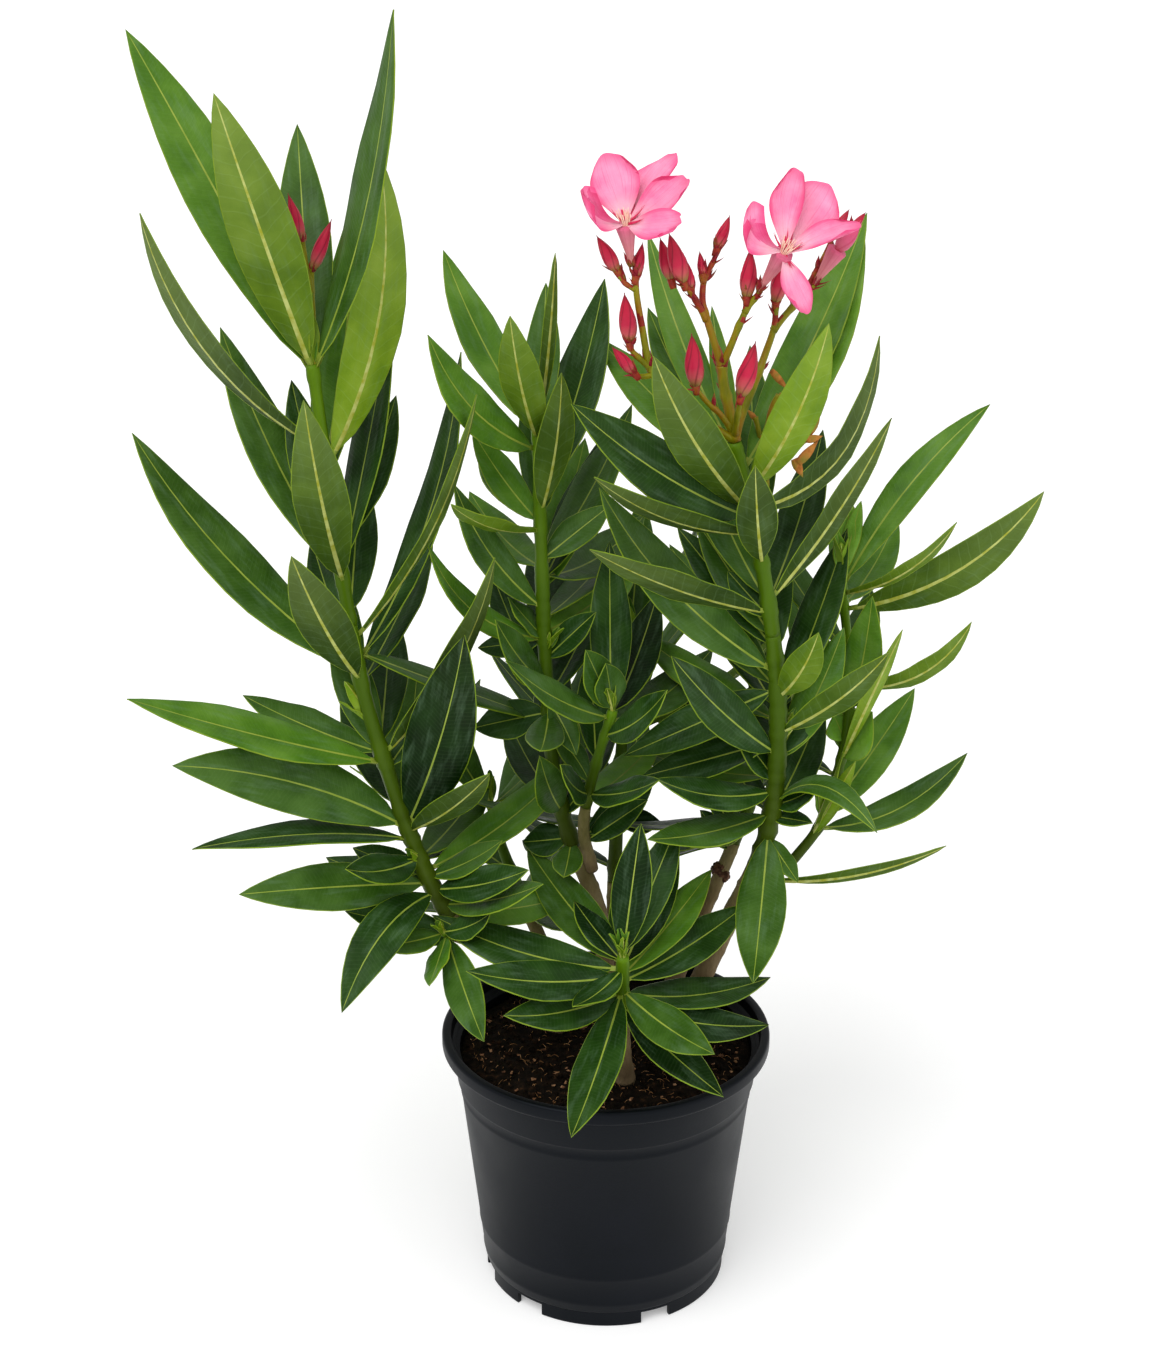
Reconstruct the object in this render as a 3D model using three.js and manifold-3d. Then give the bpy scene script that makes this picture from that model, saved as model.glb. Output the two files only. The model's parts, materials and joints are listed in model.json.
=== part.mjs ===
// A young oleander in a black nursery pot, in millimetres, +Z up.
// The origin is the centre of the pot's flat underside, and -Y is the side that the photograph shows.
import * as THREE from "three";
import { mergeVertices } from "three/addons/utils/BufferGeometryUtils.js";
import Module from "manifold-3d";

const wasm = await Module();
wasm.setup();

// Driving sizes of the pot
const POT_HEIGHT = 156.5;
const RIM_RADIUS = 95;
const LIP_HEIGHT = 8.5;
const LIP_MOUTH_RADIUS = 89.5;
const COLLAR_RADIUS = 86.6;
const COLLAR_FOOT = 127;
const COLLAR_STEP = 1.4;
const WALL_FOOT_RADIUS = 72;
const WALL_THICKNESS = 1.8;
const FOOT_RING_RADIUS = 70.8;
const FOOT_RING_HEIGHT = 10.5;
const FOOT_RING_THICKNESS = 3;
const FLOOR_UNDERSIDE = 8.5;
const FLOOR_THICKNESS = 2;
const HUB_RADIUS = 16;
const NOTCH_HEIGHT = 7.5;
const NOTCH_WIDTH = 18;
// Notches in the foot ring, in degrees round from the front, positive to the right
const NOTCH_TURNS = [24, -39, -75, -115, -152, 170, 134, 98];
const DRAIN_HOLES = 8;
const DRAIN_HOLE_RADIUS = 5;
const DRAIN_CIRCLE_RADIUS = 46;
const DRAIN_HOLE_SIDES = 10;
const EDGE_ROUNDING = 1.4;
const POT_SIDES = 40;

// Driving sizes of the soil
const SOIL_TOP = 146;
const SOIL_EDGE_TOP = 142.5;
const SOIL_PLATEAU_RADIUS = 66;

// Clearance between neighbouring pieces, and between a leaf and what it may not touch
const GAP = 0.3;
const LEAF_CLEARANCE = 0.6;
// Edges shorter than this are closed up where solids are joined
const SLIVER = 0.02;

// How every leaf is cut: width = LEAF_LEAST_WIDTH + LEAF_WIDENING * length
const LEAF_LEAST_WIDTH = 13;
const LEAF_WIDENING = 0.115;
const LEAF_THICKNESS_SHARE = 0.012;
const LEAF_LEAST_THICKNESS = 1.2;
const LEAF_FOLD = 0.16;
const PETIOLE_WIDTH = 3;
const LEAF_FULLNESS = 0.8;
const LEAF_STEPS = 4;
const LEAF_SAG = 0.05;
const LEAF_SAG_SPREAD = 0.04;
const LEAF_ROLL_SPREAD = 24;
// The part of a leaf near its stem may touch the stem and its neighbours in the whorl
const LEAF_ROOT_SHARE = 0.22;

const LIMB_SIDES = 6;
const LIMB_STEP = 32;
// A share of a curve that is short enough to measure how fast it runs
const SHORT_SHARE = 0.001;
const FLARE = 0.45;
const FLARE_HEIGHT = 9;

// Where the photograph was taken from: some leaves turn a face to that side
const VIEWPOINT = [-17, -1162, 815];

// Every shoot: the points its stem runs through from foot to tip, its radius at both ends, and the height
// where its leaves start. A leaf is [height of the node, heading, rise, length, turn, sag, breadth].
// Heading is in degrees round from +X towards the back, rise is in degrees above the level, and both belong
// to the straight line from node to tip. Turn is how far a leaf turns its upper side to the viewpoint, from 0
// to 1, or its underside, from 0 to -1. Sag is how far its middle hangs below that line, as a share of its
// length, and breadth is its width as a share of what LEAF_WIDENING gives.
// A back rule adds leaves on the side that the photograph hides: heights, opening from the stem, and length.
const SHOOTS = {
  left: {
    path: [
      [-28, 20, SOIL_TOP], [-55, 0, 200], [-94, -10, 243],
      [-127, -16, 349], [-140, -18, 430], [-152, -20, 552],
    ],
    radii: [5.5, 3.2],
    leafy: 233,
    crown: 410,
    leaves: [
      [545, 159, 60, 195, 0.5, 0], [548, 224, 70, 152, -0.7, 0, 1.12], [547, 99, 57, 138, 0],
      [548, 326, 72, 190, 0.5, 0.06], [498, 335, 77, 162, -0.6, 0.07, 1.12],
      [508, 207, 55, 155, -0.2, 0.12, 0.85], [500, 80, 58, 150, 0], [437, 139, 54, 150, 0],
      [440, 64, 65, 140, 0, 0.02], [434, 263, 59, 135, -0.4], [379, 253, 49, 125, -0.4],
      [334, 122, 50, 82, 0.5], [383, 165, 45, 175, 0.3, 0.06], [388, 34, 67, 175, 0.2, 0.08, 0.75],
      [402, 0, 63, 150, -0.3, 0.07, 0.5], [329, 203, 23, 150, 0.4, 0.02], [335, 158, 14, 88, 0.4, 0.02],
      [334, 358, 61, 130, -0.4], [300, 87, 30, 105, 0.3, 0.05, 1.2], [395, 13, -25, 145, 0.3, 0, 0.8],
      [290, 7, 73, 130, 0.8, 0.05, 1.4], [289, 201, 24, 140, 0.8, -0.05, 1.2],
      [282, 204, 8, 125, 0.2, -0.06, 0.85], [288, 316, 39, 85, -0.5], [268, 75, 0, 90, 0.5],
      [270, 70, 5, 105, 0.4], [262, 141, -11, 80, 0.1], [270, 241, 18, 75, 0.6],
      [254, 209, 10, 115, 0.8, -0.03, 1.05], [248, 236, -24, 95, 0.8, -0.16, 1.1], [262, 55, 8, 120, 0.3],
      [258, 351, 31, 50, 0.4], [250, 323, 25, 75, 0.5], [240, 319, 26, 85, 0.3], [238, 10, 2, 75, 0.6],
    ],
    back: { from: 300, step: 38, count: 6, opening: [70, 42], length: [115, 95] },
  },
  middle: {
    path: [[2, 32, SOIL_TOP], [-4, 28, 215], [-25, 25, 281], [-33, 22, 354], [-36, 20, 430], [-38, 20, 510]],
    radii: [5.5, 3],
    leafy: 260,
    leaves: [
      [506, 128, 45, 120, 0], [496, 222, 45, 100, 0.7, 0.09], [503, 255, 57, 90, 0],
      [507, 87, 40, 100, 0.8, 0.05, 0.8], [507, 299, 78, 100, 0, 0.02, 0.35],
      [470, 67, 48, 137, 0, 0.05, 1.2], [462, 299, 73, 85, -0.1], [452, 229, 23, 75, -0.2],
      [458, 114, 11, 90, 0], [455, 157, 50, 62, 0.6], [406, 220, 54, 95, 0.7, 0.08, 0.85],
      [388, 221, 42, 95, 0.5, 0.14, 0.8], [430, 61, 33, 125, 0], [430, 116, 10, 100, 0.4],
      [425, 60, 2, 118, 0.4], [400, 57, 20, 120, 0], [392, 60, 6, 110, 0.5], [360, 242, 45, 80, 0.6],
      [345, 267, 5, 75, 0], [415, 72, 42, 115, 0.3], [300, 78, 19, 130, 0],
      [282, 255, 49, 70, 0.6], [268, 121, -26, 60, 0.4], [263, 265, 0, 40, 0.4],
    ],
    back: { from: 285, step: 34, count: 6, opening: [75, 45], length: [95, 110] },
  },
  inner: {
    path: [[-8, 24, 246], [-13, 12, 280], [-6, 5, 320], [3, 0, 354]],
    radii: [3.6, 2.6],
    parent: "middle",
    leafy: 292,
    leaves: [
      [351, 72, 25, 100, 0], [347, 57, 4, 115, 0], [349, 221, 35, 90, 0.3], [350, 90, 40, 100, 0],
      [338, 303, 38, 75, 0.6], [320, 93, 40, 70, 0], [300, 251, 38, 60, 0.5], [300, 304, 26, 75, 0.4],
      [296, 61, 4, 90, 0],
    ],
  },
  right: {
    path: [[46, 30, SOIL_TOP], [69, 22, 208], [92, 15, 275], [94, 5, 358], [82, -4, 440], [65, -12, 509]],
    radii: [6, 3.6],
    leafy: 252,
    crown: 398,
    leaves: [
      [500, 114, 42, 150, 0], [494, 118, 34, 120, 0], [505, 96, 34, 90, 0, 0.05, 0.5],
      [492, 51, 47, 165, 0.1], [484, 44, 54, 160, 0.2, 0.05, 1.1], [489, 130, 25, 140, 0, 0],
      [480, 316, 63, 110, -0.7], [470, 230, 49, 130, -0.6], [466, 214, 34, 135, 0.7, 0.05, 1.15],
      [472, 37, 42, 120, -0.5, 0.22], [458, 209, 24, 115, -0.3], [440, 259, 56, 80, 0],
      [418, 44, 40, 130, -0.6, 0.03, 0.65], [412, 200, 24, 130, -0.4], [375, 196, 48, 152, 0.6],
      [360, 300, 54, 60, -0.8], [365, 125, 30, 115, 0.4], [345, 125, 6, 120, 0.1],
      [338, 325, 43, 90, -0.6, 0.03, 0.8], [324, 218, 44, 110, 0.7], [318, 36, 57, 85, 0.6],
      [300, 216, 19, 90, 0.3], [310, 135, -8, 110, 0.2, 0.05, 1.2], [286, 220, 7, 95, 0.3],
      [292, 314, 5, 75, 0.2, -0.25, 0.8], [275, 261, -32, 100, 0.4, 0.05, 1.15], [262, 46, -67, 50, 0.3],
    ],
    back: { from: 285, step: 33, count: 6, opening: [72, 48], length: [105, 130] },
  },
  side: {
    path: [[73, 24, 216], [95, 40, 230], [113, 50, 243], [130, 57, 270], [141, 60, 335], [133, 60, 410]],
    radii: [3.4, 2.6],
    parent: "right",
    leafy: 229,
    leaves: [
      [405, 27, 45, 135, 0.7, -0.08, 0.75], [392, 338, 37, 135, -0.8, 0.08, 0.9],
      [402, 320, 38, 90, -0.4, 0.08, 0.5], [408, 80, 34, 60, 0], [395, 64, 17, 95, 0.5],
      [345, 334, 36, 85, -0.6, 0.15, 0.65], [352, 75, 21, 80, 0], [330, 278, 66, 90, 0.6],
      [300, 302, 63, 110, 0, 0, 0.4], [262, 52, 27, 115, 0.5, 0], [258, 28, 14, 110, 0.4, 0.13, 0.85],
      [231, 349, 17, 105, 0, 0.065, 0.35], [365, 130, 40, 105, 0], [325, 110, 35, 105, 0],
      [290, 150, 25, 90, 0],
    ],
  },
  front: {
    path: [[10, -40, SOIL_TOP], [8, -60, 200], [8, -72, 240]],
    radii: [4.6, 3],
    leafy: 196,
    leaves: [
      [234, 117, 10, 120, 0.3], [231, 134, -9, 120, 0.4], [232, 73, 19, 115, 0], [228, 84, 12, 120, 0],
      [226, 59, 12, 100, 0], [222, 46, 5, 105, 0.6], [216, 303, 1, 85, 0.6], [216, 255, -15, 110, 0],
      [226, 211, 17, 100, 0.6], [214, 219, 10, 85, 0.7], [205, 309, -13, 85, 0.5], [214, 36, -13, 110, 0],
      [208, 20, -20, 95, 0.2], [231, 232, -5, 50, 0], [236, 124, 20, 50, 0],
    ],
  },
  twig: {
    path: [[-78, -5, 214], [-86, -16, 222], [-92, -24, 230]],
    radii: [2.2, 1.8],
    parent: "left",
    leafy: 222,
    leaves: [[229, 221, 10, 50, 0.1], [227, 258, -18, 40, 0], [227, 288, -20, 80, 0], [230, 340, 30, 35, 0]],
  },
  rear: {
    path: [[36, 46, SOIL_TOP], [58, 56, 200], [74, 60, 240], [88, 62, 280], [96, 66, 320]],
    radii: [5, 2.6],
    leafy: 246,
    leaves: [
      [300, 122, 0, 120, 0.4], [285, 124, -9, 120, 0.4], [310, 150, 5, 90, 0.4], [262, 235, 3, 60, 0],
      [310, 70, 10, 90, 0.4], [268, 149, -35, 70, 0.5], [318, 100, 45, 110, 0], [316, 20, 30, 80, 0],
      [280, 60, 5, 100, 0], [256, 95, 0, 90, 0],
    ],
  },
  back: {
    path: [[6, 54, SOIL_TOP], [6, 72, 220], [10, 86, 300], [14, 92, 360]],
    radii: [5.2, 2.6],
    leafy: 215,
    whorls: { from: 224, step: 27, count: 6, turn: 20, opening: [82, 30], length: [90, 120] },
  },
  far: {
    path: [[-24, 50, SOIL_TOP], [-44, 62, 195], [-62, 70, 240], [-68, 72, 266]],
    radii: [4.6, 2.4],
    leafy: 196,
    whorls: { from: 204, step: 20, count: 4, turn: 75, opening: [84, 44], length: [85, 105] },
  },
};

// The flower head stands on the tip of the right stem. Its branches are offsets from that tip, and each bud
// is [branch, share of the branch, heading, rise, stalk, length].
const HEAD_FOOT = [65, -12, 510.4];
const HEAD_BRANCHES = [
  [[0, 0, 0], [-18, -4, 18], [-42, -8, 34], [-49, -9, 60], [-52, -8, 85]],
  [[0, 0, 0], [-7, -3, 33], [-17, -5, 57], [-27, -6, 79]],
  [[0, 0, 0], [-10, 8, 35], [-17, 14, 62], [-17, 16, 85]],
  [[0, 0, 0], [-6, 4, 35], [-1, 0, 58], [4, -2, 75]],
  [[0, 0, 0], [8, -6, 29], [15, -8, 54], [17, -8, 70]],
  [[0, 0, 0], [16, 12, 34], [32, 22, 60], [40, 26, 74]],
];
const BUDS = [
  [0, 0.9, 185, 58, 17, 22], [0, 1, 350, 74, 4, 18], [0, 0.66, 262, 80, 8, 27], [0, 0.5, 190, 44, 10, 15],
  [1, 1, 185, 74, 3, 27], [1, 0.85, 262, 78, 8, 17], [1, 0.3, 232, 62, 14, 27], [2, 1, 5, 62, 10, 21],
  [2, 1, 180, 82, 2, 11], [3, 1, 10, 86, 3, 27], [3, 0.12, 335, 74, 16, 28], [5, 1, 20, 66, 22, 13],
  [5, 1, 12, 54, 28, 13], [5, 0.8, 100, 50, 12, 20], [4, 0.6, 280, 55, 10, 14], [2, 0.7, 110, 48, 14, 16],
];
const BUD_RADIUS_SHARE = 0.19;
const BUD_STALK_RADIUS = 1;
// How deep the stalk of a bud, a tube or a petal is sunk in what it grows from
const ROOT_DEPTH = 1.5;
// Each bloom: its branch, the heading, rise and length of its tube, and its petals as [heading, rise, length]
const BLOOMS = [
  {
    branch: 0,
    tube: [200, 80, 26],
    petals: [[153, 61, 38], [29, 54, 42], [356, 35, 37], [319, 4, 31], [207, 43, 32]],
  },
  {
    branch: 4,
    tube: [300, 74, 24],
    petals: [[110, 66, 40], [45, 60, 42], [354, 23, 38], [299, -45, 34], [197, 47, 32]],
  },
  {
    branch: 5,
    tube: [20, 68, 15],
    petals: [[15, 62, 32], [335, 38, 32], [90, 44, 34], [160, 60, 30], [262, 66, 22]],
  },
];
const PETAL_WIDTH = 24;
const PETAL_THICKNESS = 1.2;
const PETAL_HOLLOW = 2;
// How wide a petal is at its foot, a third, two thirds and its blunt end, as shares of its width
const PETAL_OUTLINE = [0.2, 0.85, 1, 0.6];
const TUBE_FOOT_RADIUS = 1.8;
const TUBE_THROAT_RADIUS = 5.5;
const THROAT_DOME = 5;
const TUBE_SIDES = 7;
// How far out from the middle of the throat a petal starts
const PETAL_ROOT = 2.2;
const BRANCH_RADII = [2.4, 1.5];
const BRANCH_SIDES = 5;
const BRANCH_STEP = 26;

// Two young buds on one stalk stand between the top leaves of the left shoot
const YOUNG_STALK = [[-151, -20, 549], [-151, -16, 584], [-154, -12, 603]];
const YOUNG_BUDS = [[1, 190, 78, 10, 24], [0.8, 20, 66, 6, 24]];

const COLOURS = {
  pot: { color: 0x26272a, roughness: 0.55, metalness: 0 },
  soil: { color: 0x1c130c, roughness: 0.95, metalness: 0 },
  wood: { color: 0x75664a, roughness: 0.85, metalness: 0 },
  leaf: { color: 0x2f5f2a, roughness: 0.45, metalness: 0 },
  flower: { color: 0xee6fa3, roughness: 0.5, metalness: 0 },
};

const UP = new THREE.Vector3(0, 0, 1);
const AWAY = new THREE.Vector3(0, 1, 0);
const group = new THREE.Group();
// Everything that has grown so far, which a new leaf may not touch
const grown = [];

function vector(point) {
  return new THREE.Vector3(...point);
}

function blend(a, b, share) {
  return a + (b - a) * share;
}

function towards(heading, rise) {
  const turn = THREE.MathUtils.degToRad(heading);
  const lift = THREE.MathUtils.degToRad(rise);
  return new THREE.Vector3(
    Math.cos(turn) * Math.cos(lift),
    Math.sin(turn) * Math.cos(lift),
    Math.sin(lift),
  );
}

// A repeatable stream of numbers from 0 up to 1
function stream(seed) {
  const MULTIPLIER = 1664525;
  const INCREMENT = 1013904223;
  const MODULUS = 2 ** 32;
  let state = seed;
  return () => {
    state = (Math.imul(state, MULTIPLIER) + INCREMENT) >>> 0;
    return state / MODULUS;
  };
}

// Closed geometry to a solid that can be joined and cut
function solid(geometry) {
  geometry.deleteAttribute("normal");
  geometry.deleteAttribute("uv");
  const merged = mergeVertices(geometry);
  return new wasm.Manifold(
    new wasm.Mesh({
      numProp: 3,
      vertProperties: merged.attributes.position.array,
      triVerts: new Uint32Array(merged.index.array),
    }),
  );
}

// The largest body of a solid, so that loose scraps are dropped, without the slivers that joins leave
function wholeBody(made) {
  return made
    .simplify(SLIVER)
    .decompose()
    .reduce((best, body) => (body.volume() > best.volume() ? body : best));
}

function addPiece(name, made, look) {
  const data = made.getMesh();
  const geometry = new THREE.BufferGeometry();
  geometry.setAttribute("position", new THREE.BufferAttribute(data.vertProperties, 3));
  geometry.setIndex(new THREE.BufferAttribute(data.triVerts, 1));
  geometry.computeVertexNormals();
  const mesh = new THREE.Mesh(geometry, new THREE.MeshStandardMaterial(COLOURS[look]));
  mesh.name = name;
  group.add(mesh);
}

// Move every vertex of a unit cone or cylinder about the Y axis: place gets how far along it lies, and where
// it lies across, as shares of the ring
function shaped(geometry, ringRadius, place) {
  const places = geometry.attributes.position;
  for (let i = 0; i < places.count; i++) {
    const along = places.getY(i) + 0.5;
    const radius = ringRadius(along);
    const wide = radius > 0 ? places.getX(i) / radius : 0;
    const thick = radius > 0 ? places.getZ(i) / radius : 0;
    const point = place(along, wide, thick);
    places.setXYZ(i, point.x, point.y, point.z);
  }
  return solid(geometry);
}

function stemCurve(path) {
  return new THREE.CatmullRomCurve3(path.map(vector), false, "catmullrom", 0.5);
}

// Where a rising stem reaches a height, as a share of its curve
function shareAtHeight(curve, height) {
  let low = 0;
  let high = 1;
  while (high - low > 1e-9) {
    const middle = (low + high) / 2;
    if (curve.getPoint(middle).z < height) low = middle;
    else high = middle;
  }
  return low;
}

// One tapering limb from one share of its curve to another, flared and cut level where it meets the soil
function limb(curve, from, to, radii, options = {}) {
  const { spare = 0, sides = LIMB_SIDES, rooted = false, level = rooted, step = LIMB_STEP } = options;
  const foot = curve.getPoint(from);
  const reach = curve.getLength() * (to - from);
  const steps = Math.max(2, Math.round(reach / step));
  const unit = new THREE.CylinderGeometry(1, 1, 1, sides, steps);
  return shaped(unit, () => 1, (along, wide, thick) => {
    const share = blend(from, to, along);
    const centre = curve.getPoint(share);
    const ahead = curve.getTangent(share);
    const side = new THREE.Vector3().crossVectors(ahead, AWAY).normalize();
    const out = new THREE.Vector3().crossVectors(side, ahead);
    const rise = centre.z - foot.z;
    const flare = rooted ? 1 + FLARE * Math.exp(-rise / FLARE_HEIGHT) : 1;
    const radius = blend(radii[0], radii[1], share) * flare + spare;
    const point = centre.addScaledVector(side, wide * radius).addScaledVector(out, thick * radius);
    if (level && along === 0) point.z = foot.z;
    return point;
  });
}

// The unit vector square to a chord that points most nearly the given way
function across(way, chord) {
  return way.clone().addScaledVector(chord, -way.dot(chord)).normalize();
}

// A leaf by where it stands, where it points and how it curls and rolls
function leafAt(curve, row, [rollDraw, sagDraw], [pull, lift]) {
  const [height, heading, rise, length, turn = 0, sag = LEAF_SAG, breadth = 1] = row;
  const share = shareAtHeight(curve, height);
  const foot = curve.getPoint(share);
  const sight = vector(VIEWPOINT).sub(foot).normalize();
  const chord = towards(heading, rise).addScaledVector(sight, pull).addScaledVector(UP, lift).normalize();
  const roll = (rollDraw - 0.5) * LEAF_ROLL_SPREAD * (1 - Math.abs(turn));
  const toStem = across(curve.getTangent(share), chord);
  const toView = across(sight, chord);
  const face = toStem
    .multiplyScalar(1 - Math.abs(turn))
    .addScaledVector(toView, turn)
    .normalize()
    .applyAxisAngle(chord, THREE.MathUtils.degToRad(roll));
  return {
    foot,
    chord,
    face,
    up: across(UP, chord),
    length,
    width: (LEAF_LEAST_WIDTH + LEAF_WIDENING * length) * breadth,
    sag: sag + (sagDraw - 0.5) * LEAF_SAG_SPREAD,
  };
}

// The blade: a folded diamond section that swells from the petiole and runs out to a point
function leafSolid(leaf, from = 0, spare = 0) {
  const unit = new THREE.ConeGeometry(1, 1, 4, LEAF_STEPS);
  const side = new THREE.Vector3().crossVectors(leaf.chord, leaf.face);
  const thickness = Math.max(LEAF_LEAST_THICKNESS, LEAF_THICKNESS_SHARE * leaf.length);
  return shaped(unit, (along) => 1 - along, (along, wide, thick) => {
    const share = blend(from, 1, along);
    const fullness = Math.sin(Math.PI * share) ** LEAF_FULLNESS;
    const halfWidth = Math.max(PETIOLE_WIDTH, leaf.width * fullness) / 2 + spare;
    const sag = 4 * leaf.sag * leaf.length * share * (1 - share);
    return leaf.foot
      .clone()
      .addScaledVector(leaf.chord, share * leaf.length)
      .addScaledVector(leaf.up, -sag)
      .addScaledVector(side, wide * halfWidth)
      .addScaledVector(leaf.face, Math.abs(wide) * halfWidth * LEAF_FOLD + thick * (thickness / 2 + spare));
  });
}

function touches(made, others) {
  return others.some((other) => made.intersect(other).volume() > 0);
}

// How far a leaf may be pulled to the viewpoint and lifted to find room, as shares of its length
const NUDGES = [0, 0.06, -0.06, 0.12, -0.12, 0.2, -0.2, 0.3, -0.3, 0.4, -0.4].map((pull) => [pull, 0]);
NUDGES.push([0, 0.1], [0, -0.1], [0, 0.2], [0, -0.2], [0.2, 0.2], [-0.2, 0.2], [0.2, -0.2], [-0.2, -0.2]);

// A leaf that touches nothing beyond its root is kept, nudged where that is enough, and otherwise left out
function growLeaf(mass, row) {
  const draws = [mass.random(), mass.random()];
  for (const nudge of NUDGES) {
    const leaf = leafAt(mass.curve, row, draws, nudge);
    const free = leafSolid(leaf, LEAF_ROOT_SHARE, LEAF_CLEARANCE);
    const whole = leafSolid(leaf, 0, LEAF_CLEARANCE);
    if (touches(free, mass.solids) || touches(whole, mass.neighbours)) continue;
    mass.solids.push(leafSolid(leaf));
    return;
  }
}

// Degrees between the leaves of a whorl, and how the leaves at the back are headed
const WHORL_TURN = 120;
const BACK_HEADING = 90;
const BACK_SPREAD = 22;

// Whorls of three leaves, each turned by half a step from the one below, opening wider down the stem
function whorlRows({ from, step, count, turn, opening, length }) {
  const rows = [];
  for (let k = 0; k < count; k++) {
    const share = k / (count - 1);
    const height = from + k * step;
    for (let leaf = 0; leaf < 3; leaf++) {
      rows.push([
        height,
        turn + (WHORL_TURN / 2) * k + WHORL_TURN * leaf,
        90 - blend(opening[0], opening[1], share),
        blend(length[0], length[1], Math.sin(Math.PI * share)),
      ]);
    }
  }
  return rows;
}

// On the side that the photograph hides, every second node puts two leaves out to the back, the others one
function backRows({ from, step, count, opening, length }) {
  const rows = [];
  for (let k = 0; k < count; k++) {
    const share = k / (count - 1);
    const headings = k % 2 ? [BACK_HEADING] : [BACK_HEADING - BACK_SPREAD, BACK_HEADING + BACK_SPREAD];
    for (const heading of headings) {
      rows.push([
        from + k * step,
        heading,
        90 - blend(opening[0], opening[1], share),
        blend(length[0], length[1], share),
      ]);
    }
  }
  return rows;
}

// A profile of [radius, distance] turned about an axis that starts at a foot
function turned(outline, foot, axis, sides) {
  const lathe = new THREE.LatheGeometry(outline.map(([x, y]) => new THREE.Vector2(x, y)), sides);
  lathe.applyQuaternion(new THREE.Quaternion().setFromUnitVectors(AWAY, axis));
  lathe.translate(foot.x, foot.y, foot.z);
  return solid(lathe);
}

// A bud on its stalk, thickest below its middle and running out to a point
function bud(foot, [heading, rise, stalk, length]) {
  const outline = [
    [0, -ROOT_DEPTH],
    [BUD_STALK_RADIUS, -ROOT_DEPTH],
    [BUD_STALK_RADIUS, stalk],
    [length * BUD_RADIUS_SHARE, stalk + length * 0.4],
    [0, stalk + length],
  ];
  return turned(outline, foot, towards(heading, rise), BRANCH_SIDES);
}

// A bloom: a funnel tube that flares at the throat, and five broad petals round it
function bloom({ branch, tube, petals }) {
  const [heading, rise, length] = tube;
  const foot = stemCurve(headBranch(branch)).getPoint(1);
  const axis = towards(heading, rise);
  const outline = [
    [0, -ROOT_DEPTH],
    [TUBE_FOOT_RADIUS, -ROOT_DEPTH],
    [TUBE_FOOT_RADIUS, length * 0.4],
    [TUBE_THROAT_RADIUS, length],
    [0, length + THROAT_DOME],
  ];
  const throat = foot.clone().addScaledVector(axis, length);
  return [turned(outline, foot, axis, TUBE_SIDES), ...petals.map((petal) => petalSolid(throat, axis, petal))];
}

// A petal is narrow at the throat, broadest near its end, blunt, and hollow along its middle
function petalSolid(throat, axis, [heading, rise, length]) {
  const unit = new THREE.CylinderGeometry(1, 1, 1, 4, PETAL_OUTLINE.length - 1);
  const chord = towards(heading, rise);
  const sight = vector(VIEWPOINT).sub(throat).normalize();
  const face = across(sight.add(axis), chord);
  const side = new THREE.Vector3().crossVectors(chord, face);
  return shaped(unit, () => 1, (along, wide, thick) => {
    const halfWidth = (PETAL_WIDTH / 2) * PETAL_OUTLINE[Math.round(along * (PETAL_OUTLINE.length - 1))];
    return throat
      .clone()
      .addScaledVector(chord, blend(PETAL_ROOT, length, along))
      .addScaledVector(side, wide * halfWidth)
      .addScaledVector(face, (thick * PETAL_THICKNESS) / 2 + Math.abs(wide) * PETAL_HOLLOW);
  });
}

function headBranch(index) {
  return HEAD_BRANCHES[index].map((offset) => offset.map((value, i) => value + HEAD_FOOT[i]));
}

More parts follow.
